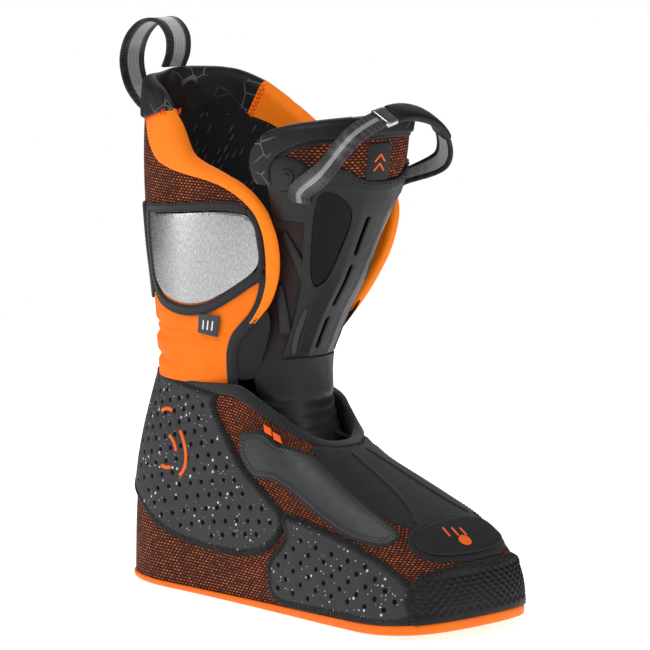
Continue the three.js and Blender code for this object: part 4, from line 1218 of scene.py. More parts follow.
def make_collar():
    """Edge tape round the collar, and the rounded lip that closes the padded wall at the throat."""
    a = np.linspace(0, STATION_COUNT, 181)[:-1]
    line = np.stack([a, np.full(len(a), 1.0)], 1)
    tape_line = moved(FOOT, line, -3.4, closed=True)
    band = tape("collar_edge_tape", FOOT, tape_line, 6.4, 0.9, -0.6, "tape", closed=True, dome=0.2)
    finish_piece(band, "foot", "binding_tape", "collar_binding")
    a = np.linspace(0, STATION_COUNT, 217)[:-1]
    t = np.full(len(a), 1.0)
    wall = foot_wall(a, t)
    throat = smoothstep(np.abs((a + TOE) % STATION_COUNT - TOE), 3.6, 4.6)
    base, normal = FOOT.point(a, t), FOOT.normal(a, t)
    _, up = FOOT.slopes(a, t)
    up /= np.linalg.norm(up, axis=1)[:, None]
    middle, half = (0.9 - wall) / 2, (0.9 + wall) / 2
    rows, offsets = [], []
    for k, angle in enumerate(np.linspace(0, math.pi, 11)):
        rise = (0.25 + 1.5 * throat) * math.sin(angle) - 0.4
        rows.append(base + normal * (middle + half * math.cos(angle))[:, None] + up * rise[:, None])
        offsets.append(k * 1.2)
    for share in (1, -1):
        rows.append(base + normal * (middle - share * (half - 0.6))[:, None] - up * 2.2)
        offsets.append(13 + share)
    lip = sweep("collar_lip", rows, np.arange(len(a)) * 2.0, offsets, "tape", closed=True)
    finish_piece(lip, "foot", "binding_tape")


def make_foot_panels():
    for side, flip in SIDES:
        for name, outline, pitches, turn in (("ankle", ANKLE, (10.5, 8.2), 14 * flip),
                                             ("forefoot", FOREFOOT, (13.0, 8.2), -5 * flip)):
            loop = loop_of(FOOT, turned(outline, flip), step=1.1)
            pits = perforations(FOOT, loop, *pitches, turn, 5.5)
            panel = sheet(f"{side}_{name}_eva", FOOT, loop, PANEL_TOP, -0.2, "eva", spacing=3.2,
                          edge=0.9, pits=pits)
            finish_piece(panel, "foot", "speckled_eva", f"{side}_{name}_panel")
            overlocked(f"{side}_{name}", loop)
        loop = loop_of(FOOT, turned(INSTEP, flip), step=1.0)
        swell = lambda a, t: OVERLAY_TOP + 0.5 * smoothstep(t, 0.55, 0.8)
        overlay = sheet(f"{side}_instep_film", FOOT, loop, swell, -0.2, "overlay", spacing=2.5, edge=0.7)
        finish_piece(overlay, "foot", "smooth_overlay", f"{side}_instep_overlay")
        border = tape(f"{side}_instep_border", FOOT, moved(FOOT, loop, -0.6, closed=True), 2.4, 0.4, -0.6,
                      "tape", closed=True)
        finish_piece(border, "foot", "binding_tape")
        for row, inset in (("outer", 1.5), ("inner", 2.9)):
            line = moved(FOOT, loop, inset, closed=True)
            seam = running_stitch(f"{side}_instep_{row}_stitches", FOOT, line,
                                  lambda a, t: swell(a, t) + 0.02, "thread_black", 1.3, 1.1, 0.27,
                                  closed=True)
            finish_piece(seam, "foot", "binding_tape")
        make_lace_tabs(side, flip)
        make_heel_arcs(side, flip)


def make_lace_tabs(side, flip):
    """Two short loops of orange webbing, sewn in side by side."""
    tabs = []
    for k, (u, t) in enumerate(((0.2705, 0.928), (0.2835, 0.921))):
        centre = np.array([u * STATION_COUNT * flip, t])
        square = np.array([centre + (x * flip, y) for x, y in ((-0.09, -0.013), (0.11, -0.013),
                                                               (0.09, 0.013), (-0.11, 0.013))])
        loop = loop_of(FOOT, square, step=0.5, straight=True)
        tabs.append(sheet(f"{side}_lace_tab_{k + 1}", FOOT, loop, 2.2, -0.2, "print_orange",
                          spacing=1.0, edge=0.6))
    for k, tab in enumerate(tabs):
        finish_piece(tab, "foot", "orange_webbing", *([f"{side}_lace_tab"] if k == 0 else []))


def make_heel_arcs(side, flip):
    """Raised orange arcs round the ankle bone."""
    centre = (0.133 * STATION_COUNT * flip, 0.665)
    for k, (radius, start, end) in enumerate(((19, -50, 44), (22, 78, 112), (10, 5, 70), (11, -112, -66))):
        angles = np.radians(np.linspace(start, end, 16))
        if flip < 0:
            angles = math.pi - angles
        line = FOOT.circle(*centre, radius, angles)
        arc = tape(f"{side}_heel_arc_{k + 1}", FOOT, line, 2.4, 1.9, 1.2, "print_orange", dome=0.4)
        finish_piece(arc, "foot", "orange_webbing")


def honeycomb(a, t):
    """Depth of the toe cap's hexagonal dimples, fading towards the cap's edges."""
    x, y = FOOT.pattern(a, t).T
    pitch, row_height = 4.9, 3.9
    row = np.round(y / row_height)
    dx = (x / pitch - 0.5 * (row % 2) + 0.5) % 1 - 0.5
    dy = y - row * row_height
    radius = np.hypot(dx * pitch, dy)
    inner = smoothstep(t, 0.265, 0.24) * smoothstep(t, 0.025, 0.04)
    inner = inner * smoothstep(np.abs(a - TOE), 1.42, 1.34)
    return -1.1 * smoothstep(radius, 2.1, 1.3) * inner


def make_toe():
    cap = loop_of(FOOT, TOE_CAP[:2], TOE_CAP[2:], step=1.0)

    def cap_top(a, t):
        rim = smoothstep(np.abs(a - TOE), 1.36, 1.44) + smoothstep(t, 0.245, 0.27)
        return 1.5 + 0.45 * np.clip(rim, 0, 1) + honeycomb(a, t)

    piece = sheet("toe_cap_rubber", FOOT, cap, cap_top, -0.2, "rubber_black", spacing=0.85, edge=0.8)
    finish_piece(piece, "foot", "toe_rubber", "toe_cap")
    overlocked("toe_cap", smooth_line(TOE_CAP[1:] + TOE_CAP[:1]), closed=False, inner=1.9)
    gusset = loop_of(FOOT, GUSSET, step=1.2)
    piece = sheet("instep_stretch_gusset", FOOT, gusset, 0.35, -0.45, "stretch_black", spacing=2.6, edge=0.4)
    finish_piece(piece, "foot", "stretch_fabric_black", "instep_gusset")
    for side in (-1, 1):
        fold = [(TOE + side * 0.62, 0.97), (TOE + side * 0.55, 0.86), (TOE + side * 0.62, 0.74),
                (TOE + side * 0.78, 0.66)]
        seam = tape(f"gusset_fold_{'lateral' if side < 0 else 'medial'}", FOOT, smooth_line(fold), 3.2, 0.75,
                    0.1, "stretch_black", dome=0.5)
        finish_piece(seam, "foot", "stretch_fabric_black")
    make_toe_patch()


def make_toe_patch():
    """The moulded flap over the toes, on its oval of stretch fabric, with plain raised strokes."""
    loop = loop_of(FOOT, PATCH, step=0.8)
    wide = moved(FOOT, even(FOOT, loop, 2.0, True), -4.2, closed=True)
    under = sheet("toe_patch_surround", FOOT, wide, 0.4, -0.45, "stretch_black", spacing=2.5, edge=0.4)
    finish_piece(under, "foot", "stretch_fabric_black")
    lift = lambda a, t: 1.6 + 0.9 * smoothstep(t, 0.5, 0.4)
    patch = sheet("toe_patch_moulded", FOOT, loop, lift, 0.5, "patch", spacing=2.0, edge=0.7)
    finish_piece(patch, "foot", "patch_tpu", "toe_patch")
    strokes = [[(TOE + x, 0.60 - 0.012 * k), (TOE + x, 0.535 - 0.008 * k)] for k, x in
               enumerate((-0.34, -0.17, 0.0))]
    for k, line in enumerate(strokes):
        mark = tape(f"toe_patch_stroke_{k + 1}", FOOT, smooth_line(line), 1.5, lambda a, t: lift(a, t) + 0.1,
                    1.2, "print_orange", step=0.8, dome=0.1)
        finish_piece(mark, "foot", "patch_tpu")
    dot = FOOT.circle(TOE - 0.12, 0.485, 4.2, np.linspace(0, 2 * math.pi, 25)[:-1])
    mark = sheet("toe_patch_dot", FOOT, dot, lambda a, t: lift(a, t) + 0.2, 1.2, "print_orange",
                 spacing=1.2, edge=0.15)
    finish_piece(mark, "foot", "patch_tpu")


# ---- ankle and cuff ----------------------------------------------------------------------------------
FOLD_LINES = ((149.5, 2.2, 0.06), (160.0, 2.4, -0.05), (170.5, 2.2, 0.04))


def folds(degrees, z):
    """The stretch fabric's folds behind the ankle."""
    back = smoothstep(np.abs(degrees), 105, 35)
    side = smoothstep(np.abs(degrees), 40, 80) * smoothstep(np.abs(degrees), 118, 100)
    height = np.zeros(len(z))
    for level, width, slope in FOLD_LINES:
        line = level + slope * degrees + 1.2 * np.sin(degrees / 17 + level)
        height -= 2.3 * back * np.exp(-((z - line) / width) ** 2)
    wave = np.sin((z + 0.22 * np.abs(degrees)) / 3.1) * np.exp(-((z - 158) / 11) ** 2)
    height += 0.45 * side * wave
    return height + 0.9 * back * np.exp(-((z - 160) / 12) ** 2)


STRETCH = [(-124, COLLAR_Z - 5), (-119, 151), (-117.5, 159), (-118, 167), (-121, 173.5), (-125.5, 185),
           (-126, 200), (-123, 209), (-110, 203), (-95, 196), (-60, 196), (0, 198), (60, 196), (95, 196),
           (110, 203), (123, 209), (126, 200), (125.5, 185), (121, 173.5), (118, 167), (117.5, 159),
           (119, 151), (124, COLLAR_Z - 5)]
SIDE_GUSSET = [(-138, 141), (-139, 158), (-137, 174), (-131, 185), (-122, 185), (-116, 170), (-116, 150),
               (-122, 141)]
FRONT_TAPE = [(-124.5, 209), (-126.5, 199), (-126.5, 189), (-124.5, 180.5), (-121, 173.5), (-118, 167),
              (-117.5, 159), (-119, 151), (-124, 135.5)]
PANEL = [(-50, 238.5), (-59, 239.5), (-73, 241.5), (-88, 244), (-102, 246), (-112, 245), (-116.5, 240),
         (-119, 229), (-121, 217), (-118.5, 209), (-111, 200.5), (-103, 193.5), (-94, 188), (-84, 185.3),
         (-74, 185.3), (-64, 188), (-55, 194), (-50, 205)]
UPPER_BINDING = [(-49, 241.5), (-60, 243), (-73, 245), (-88, 247.8), (-102, 249.8), (-113, 248.3)]
LOWER_BINDING = [(-48.5, 199), (-52, 191), (-58, 185), (-66, 182), (-76, 180.5), (-87, 181.3),
                 (-98, 185.3), (-108, 193), (-117, 202), (-124, 209)]
FRONT_BINDING = [(-113, 248.5), (-117.5, 241.5), (-120.3, 229.5), (-122.3, 217), (-122.5, 209)]
REAR_BINDING = [(-49, 243), (-47.5, 222), (-48, 199)]
FLEX_START = (0, 0, COLLAR_Z)
FLEX_END = (0, 0, FLEX_Z)


def flex_piece(piece, slot, *nodes):
    """A piece at the ankle, between the foot and the cuff, placed through blend_piece."""
    blend_piece(piece, "foot", "cuff", FLEX_START, FLEX_END, slot, *nodes)


def make_ankle():
    loop = loop_of(CUFF, STRETCH[:8], STRETCH[7:16], STRETCH[15:], step=1.5)
    fabric = sheet("ankle_stretch_zone", CUFF, loop, lambda d, z: -0.25 + folds(d, z),
                   lambda d, z: -0.45 + folds(d, z), "stretch_orange", spacing=1.7, edge=0.08)
    flex_piece(fabric, "stretch_fabric_orange", "flex_sleeve")
    low = [(-124, COLLAR_Z), (-119, 150), (-118, 163), (-122, FLEX_Z - 1), (122, FLEX_Z - 1), (118, 163),
           (119, 150), (124, COLLAR_Z)]
    loop = loop_of(CUFF, low[:4], low[4:], step=2.5)
    depth = lambda d, z: -7.5 + 3.0 * smoothstep(np.abs(d), 80, 112)
    lining = sheet("ankle_lining", CUFF, loop, -3.4, depth, "lining", spacing=3.5, edge=0.3)
    flex_piece(lining, "foam", "flex_foam")
    for side, flip in SIDES:
        front = smooth_line(turned(FRONT_TAPE, flip))
        edge = tape(f"{side}_front_edge_tape", CUFF, front, 6.4, 0.9, -0.9, "tape", dome=0.4)
        flex_piece(edge, "binding_tape")
        for row, inset in (("a", -2.1), ("b", 2.1)):
            line = moved(CUFF, even(CUFF, front, 1.5), inset)
            seam = running_stitch(f"{side}_front_edge_stitch_{row}", CUFF, line, 1.05,
                                  "thread_black", 1.5, 1.0, 0.24)
            flex_piece(seam, "binding_tape")
        loop = loop_of(CUFF, turned(SIDE_GUSSET, flip), step=1.5)
        piece = sheet(f"{side}_ankle_stretch_gusset", CUFF, loop, -0.5, -1.3,
                      "stretch_black", spacing=3, edge=0.3)
        flex_piece(piece, "stretch_fabric_black", f"{side}_ankle_gusset")


def cuff_inner(degrees, z):
    return -cuff_wall(degrees)


def make_cuff_walls():
    loop = loop_of(CUFF, ROLL_LATERAL, SPOILER_LOW, ROLL_MEDIAL, step=1.5)
    skin = sheet("cuff_mesh_fabric", CUFF, loop, SKIN_TOP, SKIN_BASE, "mesh", spacing=3.5, edge=0.2)
    finish_piece(skin, "cuff", "spacer_mesh", "cuff_textile")
    foam = sheet("cuff_foam_core", CUFF, loop, FOAM_TOP, lambda d, z: cuff_inner(d, z) + LINING + FOAM_GAP,
                 "foam", spacing=4, edge=0.5)
    finish_piece(foam, "cuff", "foam", "cuff_foam")
    quilt = lambda d, z: cuff_inner(d, z) - 0.5 * np.cos(d / 9) ** 4
    lining = sheet("cuff_lining_fabric", CUFF, loop, lambda d, z: cuff_inner(d, z) + LINING, quilt,
                   "lining", spacing=2.5, edge=0.2)
    finish_piece(lining, "cuff", "lining_fabric", "cuff_lining")


ROLLS = {
    "rear_spoiler_pad": (RIM_BACK, SPOILER_LOW, "padded_black", "rear_spoiler"),
    "lateral_collar_pad": (RIM_LATERAL + [(-65.2, 304.7)], ROLL_LATERAL + [(-47.6, 296.9)], "padded_orange",
                           "lateral_collar_roll"),
    "medial_collar_pad": ([(57.6, 316.2)] + RIM_MEDIAL, [(50.7, 295.1)] + ROLL_MEDIAL, "padded_orange",
                          "medial_collar_roll"),
}


def make_rolls():
    for name, (rim, seam, cover, node) in ROLLS.items():
        lower = moved(CUFF, even(CUFF, smooth_line(seam), 1.5), 0.5)
        loop = loop_of(CUFF, rim, lower[::-1].tolist(), step=1.1)
        line = even(CUFF, smooth_line(rim), 1.5)
        pad = sheet(name, CUFF, loop, ROLL_OUT, cuff_inner, cover, spacing=1.8, edge=1.4, soft=(line, 5.8))
        puff(pad, CUFF.place(*lower.T, -3))
        finish_piece(pad, "cuff", cover, node)


def roll_face(line, degrees, z, outer):
    """Height of a roll's outer or inner face where it turns over its rim line."""
    at = CUFF.point(degrees, z)
    rim = CUFF.point(*even(CUFF, smooth_line(line), 1.5).T)
    half = (ROLL_OUT + cuff_wall(degrees)) / 2
    droop = roll_droop(distance_to(at, rim, closed=False), half)
    return ROLL_OUT - droop if outer else -cuff_wall(degrees) + droop


def make_zigzags():
    """Orange zigzag stitches over the joins between the spoiler and the collar pads."""
    joins = (("lateral", [(-48, 296.6), (-65.4, 304.4)], RIM_LATERAL),
             ("medial", [(51.5, 295), (58.5, 315.6)], RIM_MEDIAL))
    for side, line, rim in joins:
        for face in ("outer", "inner"):
            path = even(CUFF, np.array(line, float), 1.5)
            left = moved(CUFF, path, 2.0)
            right = moved(CUFF, path, -2.0)
            zig = np.array([left[i] if i % 2 else right[i] for i in range(len(path))])
            lift = 0.25 if face == "outer" else -0.25
            at = CUFF.place(*zig.T, roll_face(rim, *zig.T, face == "outer") + lift)
            normal = CUFF.normal(*zig.T) * (1 if face == "outer" else -1)
            seam = stitches(f"{side}_zigzag_{face}", at[:-1], at[1:], normal[:-1], "thread_orange", 0.3, 0.3)
            finish_piece(seam, "cuff", "padded_orange")


def make_cuff_panels():
    for side, flip in SIDES:
        loop = loop_of(CUFF, turned(PANEL, flip), step=1.2)
        panel = sheet(f"{side}_silver_panel", CUFF, loop, OVERLAY_TOP, -0.2, "silver", spacing=3, edge=0.4)
        finish_piece(panel, "cuff", "reflective_fabric", f"{side}_reflective_panel")
        bindings = (("upper", UPPER_BINDING, 5.4, (f"{side}_upper_binding",)),
                    ("lower", LOWER_BINDING, 6.6, (f"{side}_lower_binding",)),
                    ("front", FRONT_BINDING, 3.4, ()), ("rear", REAR_BINDING, 6.5, ()))
        for name, line, width, nodes in bindings:
            line = smooth_line(turned(line, flip))
            band = tape(f"{side}_{name}_edge_tape", CUFF, line, width, 1.3, -0.4, "tape")
            finish_piece(band, "cuff", "binding_tape", *nodes)
            if width < 5:
                continue
            for row in (-1, 1):
                seam = moved(CUFF, even(CUFF, line, 1.5), row * (width / 2 - 1.1))
                threads = running_stitch(f"{side}_{name}_stitch_{'a' if row < 0 else 'b'}", CUFF, seam,
                                         1.5, "thread_black", 1.4, 1.1, 0.25)
                finish_piece(threads, "cuff", "binding_tape")


def make_spine():
    """The smooth strip up the back of the cuff, with a groove down each side."""
    outline = [(-46, 190), (-46, 236), (-42, 243), (42, 243), (46, 236), (46, 190), (40, 183), (-40, 183)]
    loop = loop_of(CUFF, outline[1:3], outline[3:5], outline[5:7], outline[7:] + outline[:1], step=1.2)
    groove = lambda d, z: 1.5 - 0.7 * np.exp(-((np.abs(d) - 34) / 1.6) ** 2) * smoothstep(z, 184, 189)
    strip = sheet("rear_spine_strip", CUFF, loop, groove, -0.2, "frame", spacing=1.6, edge=0.8)
    finish_piece(strip, "cuff", "padded_black", "rear_spine")


def make_tag():
    """The folded size tag under the lower binding, with plain bars in place of letters."""
    outline = [(-107, 166.5), (-92.5, 168), (-91.5, 180), (-106, 180)]
    loop = loop_of(CUFF, np.array(outline, float), step=0.8, straight=True)
    tag = sheet("size_tag_fabric", CUFF, loop, 2.3, 1.5, "tag", spacing=1.6, edge=0.25)
    finish_piece(tag, "tag", "tag_fabric", "size_tag")
    for k, degrees in enumerate((-102.5, -99.3, -96.1)):
        bar = tape(f"size_tag_bar_{k + 1}", CUFF, np.array([(degrees, 170.5), (degrees + 0.4, 176.5)]),
                   1.1, 2.45, 2.0, "print_white", step=0.6, dome=0.02)
        finish_piece(bar, "tag", "tag_fabric")


# ---- tongue ------------------------------------------------------------------------------------------
TONGUE_BODY = [(-0.93, TONGUE_Z), (-0.95, 200), (-0.96, 263)], [(0.96, 261), (0.95, 200), (0.93, TONGUE_Z)]
YOKE = [(-0.6, 262), (-0.56, 270), (-0.47, 277.5), (-0.36, 276), (-0.25, 271), (-0.12, 268.5), (0.13, 268.5),
        (0.26, 271), (0.37, 276), (0.48, 277.5), (0.56, 270), (0.6, 262)]
FRAME_SIDE = [(0.62, 262), (0.65, 248), (0.65, 228), (0.62, 212), (0.57, 197), (0.52, 182), (0.5, 168),
              (0.5, 155)]
WINDOWS = {
    "upper": [(-0.47, 262.5), (-0.36, 258), (-0.265, 250), (-0.24, 240), (-0.265, 224), (-0.31, 209),
              (-0.37, 202.5), (-0.45, 202.5), (-0.53, 212), (-0.57, 229), (-0.575, 250), (-0.54, 260)],
    "lower": [(-0.43, 187), (-0.38, 184.5), (-0.355, 172), (-0.345, 160), (-0.37, 156.5), (-0.41, 160),
              (-0.44, 172)],
}
SLOTS = ((160, 181), (188, 215), (221, 246))
SLOT_SIDE = -0.065
SLOT_HALF = 0.024
SLOT_SHADE_FLOOR = [(-0.12, 158), (-0.01, 158), (-0.01, 248), (-0.12, 248)]
BRACES = {
    "upper": [(-0.86, 234), (-0.66, 215), (-0.5, 201)],
    "lower": [(-0.86, 201), (-0.7, 186), (-0.55, 170)],
}
SHOULDER = [(-0.95, 246), (-0.94, 268), (-0.88, 280), (-0.76, 283), (-0.62, 278), (-0.56, 266), (-0.58, 250),
            (-0.7, 243), (-0.86, 243)]
ANCHOR = [(-0.86, 243), (-0.6, 243), (-0.6, 262), (-0.84, 262)]
MESH_TOP = [(-0.58, 258), (-0.86, 266), (-0.85, 276), (-0.77, 285), (-0.58, 292), (0, 295.5), (0.58, 292),
            (0.77, 285), (0.85, 274), (0.86, 264), (0.58, 258), (0.25, 264), (-0.25, 264)]
LABEL = [(-0.2, 268.5), (0.03, 268.5), (0.02, 291), (-0.19, 291)]
RIVET = (-0.76, 271.5)
BELLOWS = [(-0.9, 104), (-0.92, 128), (-0.93, 152.6), (-0.45, 154), (0, 154.2), (0.45, 154), (0.93, 152.6),
           (0.92, 128), (0.9, 104), (0.45, 101), (0, 100.5), (-0.45, 101)]
BELLOWS_START = (145, 0, 108)
BELLOWS_END = (145, 0, TONGUE_Z)


def tongue_inner(side, z):
    return -tongue_wall(side)


def make_tongue_walls():
    left, right = TONGUE_BODY
    loop = loop_of(TONGUE, left, TONGUE_ROLL, right, step=1.5)
    # The side cover's dark red-brown colour is painted shade of orange fabric.
    cover = sheet("tongue_side_cover", TONGUE, loop, -0.45, -1.0, "tongue_side_painted_shade", spacing=4, edge=0.2)
    finish_piece(cover, "tongue", "padded_black")
    foam = sheet("tongue_foam_core", TONGUE, loop, -1.3, lambda s, z: tongue_inner(s, z) + LINING + FOAM_GAP,
                 "foam", spacing=4, edge=0.4)
    finish_piece(foam, "tongue", "foam", "tongue_foam")
    lining = sheet("tongue_lining_fabric", TONGUE, loop, lambda s, z: tongue_inner(s, z) + LINING,
                   tongue_inner, "lining", spacing=3, edge=0.2)
    finish_piece(lining, "tongue", "lining_fabric", "tongue_lining")
    seam = moved(TONGUE, even(TONGUE, smooth_line(TONGUE_ROLL), 1.5), -0.6)
    loop = loop_of(TONGUE, TONGUE_TOP, seam[::-1].tolist(), step=1.1)
    line = even(TONGUE, smooth_line(TONGUE_TOP), 1.5)
    roll = sheet("tongue_top_roll", TONGUE, loop, ROLL_OUT, tongue_inner, "padded_black",
                 spacing=1.7, edge=1.2, soft=(line, 5.2))
    puff(roll, TONGUE.place(*seam.T, -3))
    finish_piece(roll, "tongue", "padded_black", "tongue_roll")
    mesh = sheet("tongue_mesh_top", TONGUE, loop_of(TONGUE, MESH_TOP, step=1.2), -0.05, -0.9,
                 "mesh", spacing=3, edge=0.3)
    finish_piece(mesh, "tongue", "spacer_mesh", "tongue_mesh")
    line = smooth_line(MESH_TOP[1:10])
    band = tape("tongue_mesh_edge_tape", TONGUE, line, 3.0, 0.4, -0.8, "tape")
    finish_piece(band, "tongue", "binding_tape")


def slot_loop(low, high):
    """A long rounded slot on the tongue frame's spine."""
    ends = [(SLOT_SIDE - SLOT_HALF, high - 1.5), (SLOT_SIDE, high), (SLOT_SIDE + SLOT_HALF, high - 1.5)]
    ends += [(SLOT_SIDE + SLOT_HALF, low + 1.5), (SLOT_SIDE, low), (SLOT_SIDE - SLOT_HALF, low + 1.5)]
    return loop_of(TONGUE, ends[:3], ends[3:], step=0.7)


def make_tongue_frame():
    foot = [(0.5, 155), (0, 154.4), (-0.5, 155)]
    loop = loop_of(TONGUE, YOKE, FRAME_SIDE, foot, turned(FRAME_SIDE, -1)[::-1], step=0.9)
    holes = [loop_of(TONGUE, turned(points, flip), step=0.9)
             for _, flip in SIDES for points in WINDOWS.values()]
    holes += [slot_loop(*span) for span in SLOTS]

    def top(side, z):
        ridge = np.exp(-((np.abs(side) - 0.17) / 0.035) ** 2) * smoothstep(z, 262, 250)
        fold = np.exp(-((z - 262 - 9 * np.abs(side)) / 1.6) ** 2)
        return 0.45 + 1.1 * smoothstep(z, 154, 166) + 0.45 * ridge + 0.25 * fold

    frame_piece = sheet("tongue_moulded_frame", TONGUE, loop, top, -0.3, "frame",
                        spacing=1.3, edge=0.9, holes=holes)
    finish_piece(frame_piece, "tongue", "frame_tpu", "tongue_frame")
    # Painted shade: a near-black film laid under the frame's slots makes their floors read dark.
    loop = loop_of(TONGUE, SLOT_SHADE_FLOOR, step=1.5)
    slot_floor = sheet("tongue_slot_shade_film", TONGUE, loop, -0.3, -0.44, "film", spacing=3, edge=0.05)
    finish_piece(slot_floor, "tongue", "window_film")
    for side, flip in SIDES:
        for k, (name, points) in enumerate(WINDOWS.items()):
            loop = loop_of(TONGUE, turned(points, flip), step=1.2)
            film_loop = moved(TONGUE, loop, -0.8, closed=True)
            bulge = lambda s, z: 0.1 + 0.15 * np.sin(z / 5.1 + s * 9)
            film = sheet(f"{side}_{name}_window_film", TONGUE, film_loop, bulge, -0.4,
                         "film" if name == "upper" else "overlay", spacing=1.8, edge=0.2)
            finish_piece(film, "tongue", "window_film", *([f"{side}_tongue_window"] if k == 0 else []))
        for name, line in BRACES.items():
            line = smooth_line(turned(line, flip))
            brace = tape(f"{side}_{name}_brace", TONGUE, line, 7.5, 1.2, -0.5, "frame", dome=0.35)
            finish_piece(brace, "tongue", "frame_tpu")
        make_shoulder(side, flip)
    yoke = moved(TONGUE, even(TONGUE, smooth_line(YOKE), 1.5), -2.2)
    seam = running_stitch("yoke_stitches", TONGUE, yoke, lambda s, z: top(s, z) + 0.05,
                          "thread_black", 2.6, 1.5, 0.35)
    finish_piece(seam, "tongue", "frame_tpu")


def make_shoulder(side, flip):
    """The plate with the rivet, and the patch that holds the strap's end."""
    plate_loop = loop_of(TONGUE, turned(SHOULDER, flip), step=1.0)
    piece = sheet(f"{side}_shoulder_plate", TONGUE, plate_loop, 1.0, -0.45, "frame", spacing=2.2, edge=0.7)
    finish_piece(piece, "tongue", "frame_tpu")
    loop = loop_of(TONGUE, turned(ANCHOR, flip), step=1.0, straight=True)
    anchor = sheet(f"{side}_strap_anchor_patch", TONGUE, loop, 1.5, 0.6, "frame", spacing=2.2, edge=0.4)
    finish_piece(anchor, "tongue", "frame_tpu", f"{side}_strap_anchor")
    round_loop = TONGUE.circle(RIVET[0] * flip, RIVET[1], 4.9, np.linspace(0, 2 * math.pi, 41)[:-1])
    centre = TONGUE.point(np.array([RIVET[0] * flip]), np.array([RIVET[1]]))

    def dome(s, z):
        away = distance_to(TONGUE.point(s, z), centre, closed=True)
        ring = 0.5 * np.exp(-((away - 2.6) / 0.5) ** 2)
        return 2.3 - 0.035 * away**2 - ring

    rivet = sheet(f"{side}_rivet_cap", TONGUE, round_loop, dome, 0.3, "frame", spacing=0.7, edge=0.4)
    finish_piece(rivet, "tongue", "frame_tpu", f"{side}_rivet")


def make_label():
    """The woven label under the tongue's top edge, with plain chevrons."""
    loop = loop_of(TONGUE, np.array(LABEL, float), step=0.8, straight=True)
    label = sheet("tongue_woven_label", TONGUE, loop, 0.9, -0.1, "tape", spacing=1.6, edge=0.3)
    finish_piece(label, "tongue", "binding_tape", "tongue_label")
    for k, z in enumerate((274.5, 280.0)):
        line = np.array([(-0.135, z), (-0.085, z + 4.6), (-0.035, z)])
        mark = tape(f"tongue_label_chevron_{k + 1}", TONGUE, line, 1.1, 1.05, 0.6,
                    "print_orange", step=0.7, dome=0.05)
        finish_piece(mark, "tongue", "binding_tape")


def make_bellows():
    """The smooth lower tongue, that folds where it meets the foot."""

    def top(side, z):
        height = -0.35 + 0.7 * smoothstep(z, 126, 150) * smoothstep(np.abs(side), 0.6, 0.4)
        for level, width in ((112, 2.2), (119, 2.0), (126, 2.4)):
            height = height - 0.9 * np.exp(-((z - level - 3 * side**2) / width) ** 2)
        return height

    loop = loop_of(TONGUE, BELLOWS, step=1.4)
    piece = sheet("tongue_lower_bellows", TONGUE, loop, top, -4.0, "frame", spacing=1.8, edge=0.8)
    blend_piece(piece, "foot", "tongue", BELLOWS_START, BELLOWS_END, "padded_black", "tongue_bellows")


# ---- straps ------------------------------------------------------------------------------------------
LOOP_PATH = [(16.5, 0, 327), (20.5, 0, 336), (20, 0, 347), (11, 0, 355.5), (-4, 0, 354.5), (-17, 0, 344),
             (-22, 0, 329), (-17.5, 0, 313), (-8, 0, 303), (1, 0, 297), (6.3, 0, 289), (6.4, 0, 281)]
STRAP_FOOT = (0.68, 256)
STRAP_SEAT = 1.6
STRAP_RISE = 6
STRAP_MIDDLE = [(198, -53, 277), (209, -37, 299), (213, 0, 310), (209, 37, 299), (198, 53, 277)]
STRAP_ACROSS = np.array([0.87, 0, -0.5])
SLEEVE = (0.47, 0.66)
FERRULE = 0.03
STRAP_SPACE = 0.004


def strap_foot(sign):
    """Where a strap leaves the tongue, how it rises and its width direction there."""
    a, b = np.array([sign * STRAP_FOOT[0]]), np.array([float(STRAP_FOOT[1])])
    spot = TONGUE.point(a, b)[0]
    over = TONGUE.point(a, b + 1)[0] - spot
    around = TONGUE.point(sign * (np.abs(a) + 1e-3), b)[0] - spot
    out = np.cross(around, over) * sign
    out /= np.linalg.norm(out)
    over, around = over / np.linalg.norm(over), around / np.linalg.norm(around)
    return spot + out * (STRAP_SEAT + WEBBING / 2), over, -around


def curve_at(points, t):
    """A centripetal Catmull-Rom curve through points, at fractions t of its spans, and its directions."""
    p = np.array(points, float)
    p = np.vstack([2 * p[0] - p[1], p, 2 * p[-1] - p[-2]])
    spans = len(p) - 3
    at = np.clip(t, 0, 1) * spans
    i = np.minimum(at.astype(int), spans - 1)
    w = (at - i)[:, None]
    q = [p[i + k] for k in range(4)]
    gaps = [np.maximum(np.linalg.norm(q[k + 1] - q[k], axis=1)[:, None] ** 0.5, 1e-4) for k in range(3)]
    m1 = (q[1] - q[0]) / gaps[0] - (q[2] - q[0]) / (gaps[0] + gaps[1]) + (q[2] - q[1]) / gaps[1]
    m2 = (q[2] - q[1]) / gaps[1] - (q[3] - q[1]) / (gaps[1] + gaps[2]) + (q[3] - q[2]) / gaps[2]
    m1, m2 = m1 * gaps[1], m2 * gaps[1]
    c2 = -3 * q[1] + 3 * q[2] - 2 * m1 - m2
    c3 = 2 * q[1] - 2 * q[2] + m1 + m2
    point = q[1] + m1 * w + c2 * w**2 + c3 * w**3
    slope = m1 + 2 * c2 * w + 3 * c3 * w**2
    return point, slope / np.linalg.norm(slope, axis=1)[:, None]


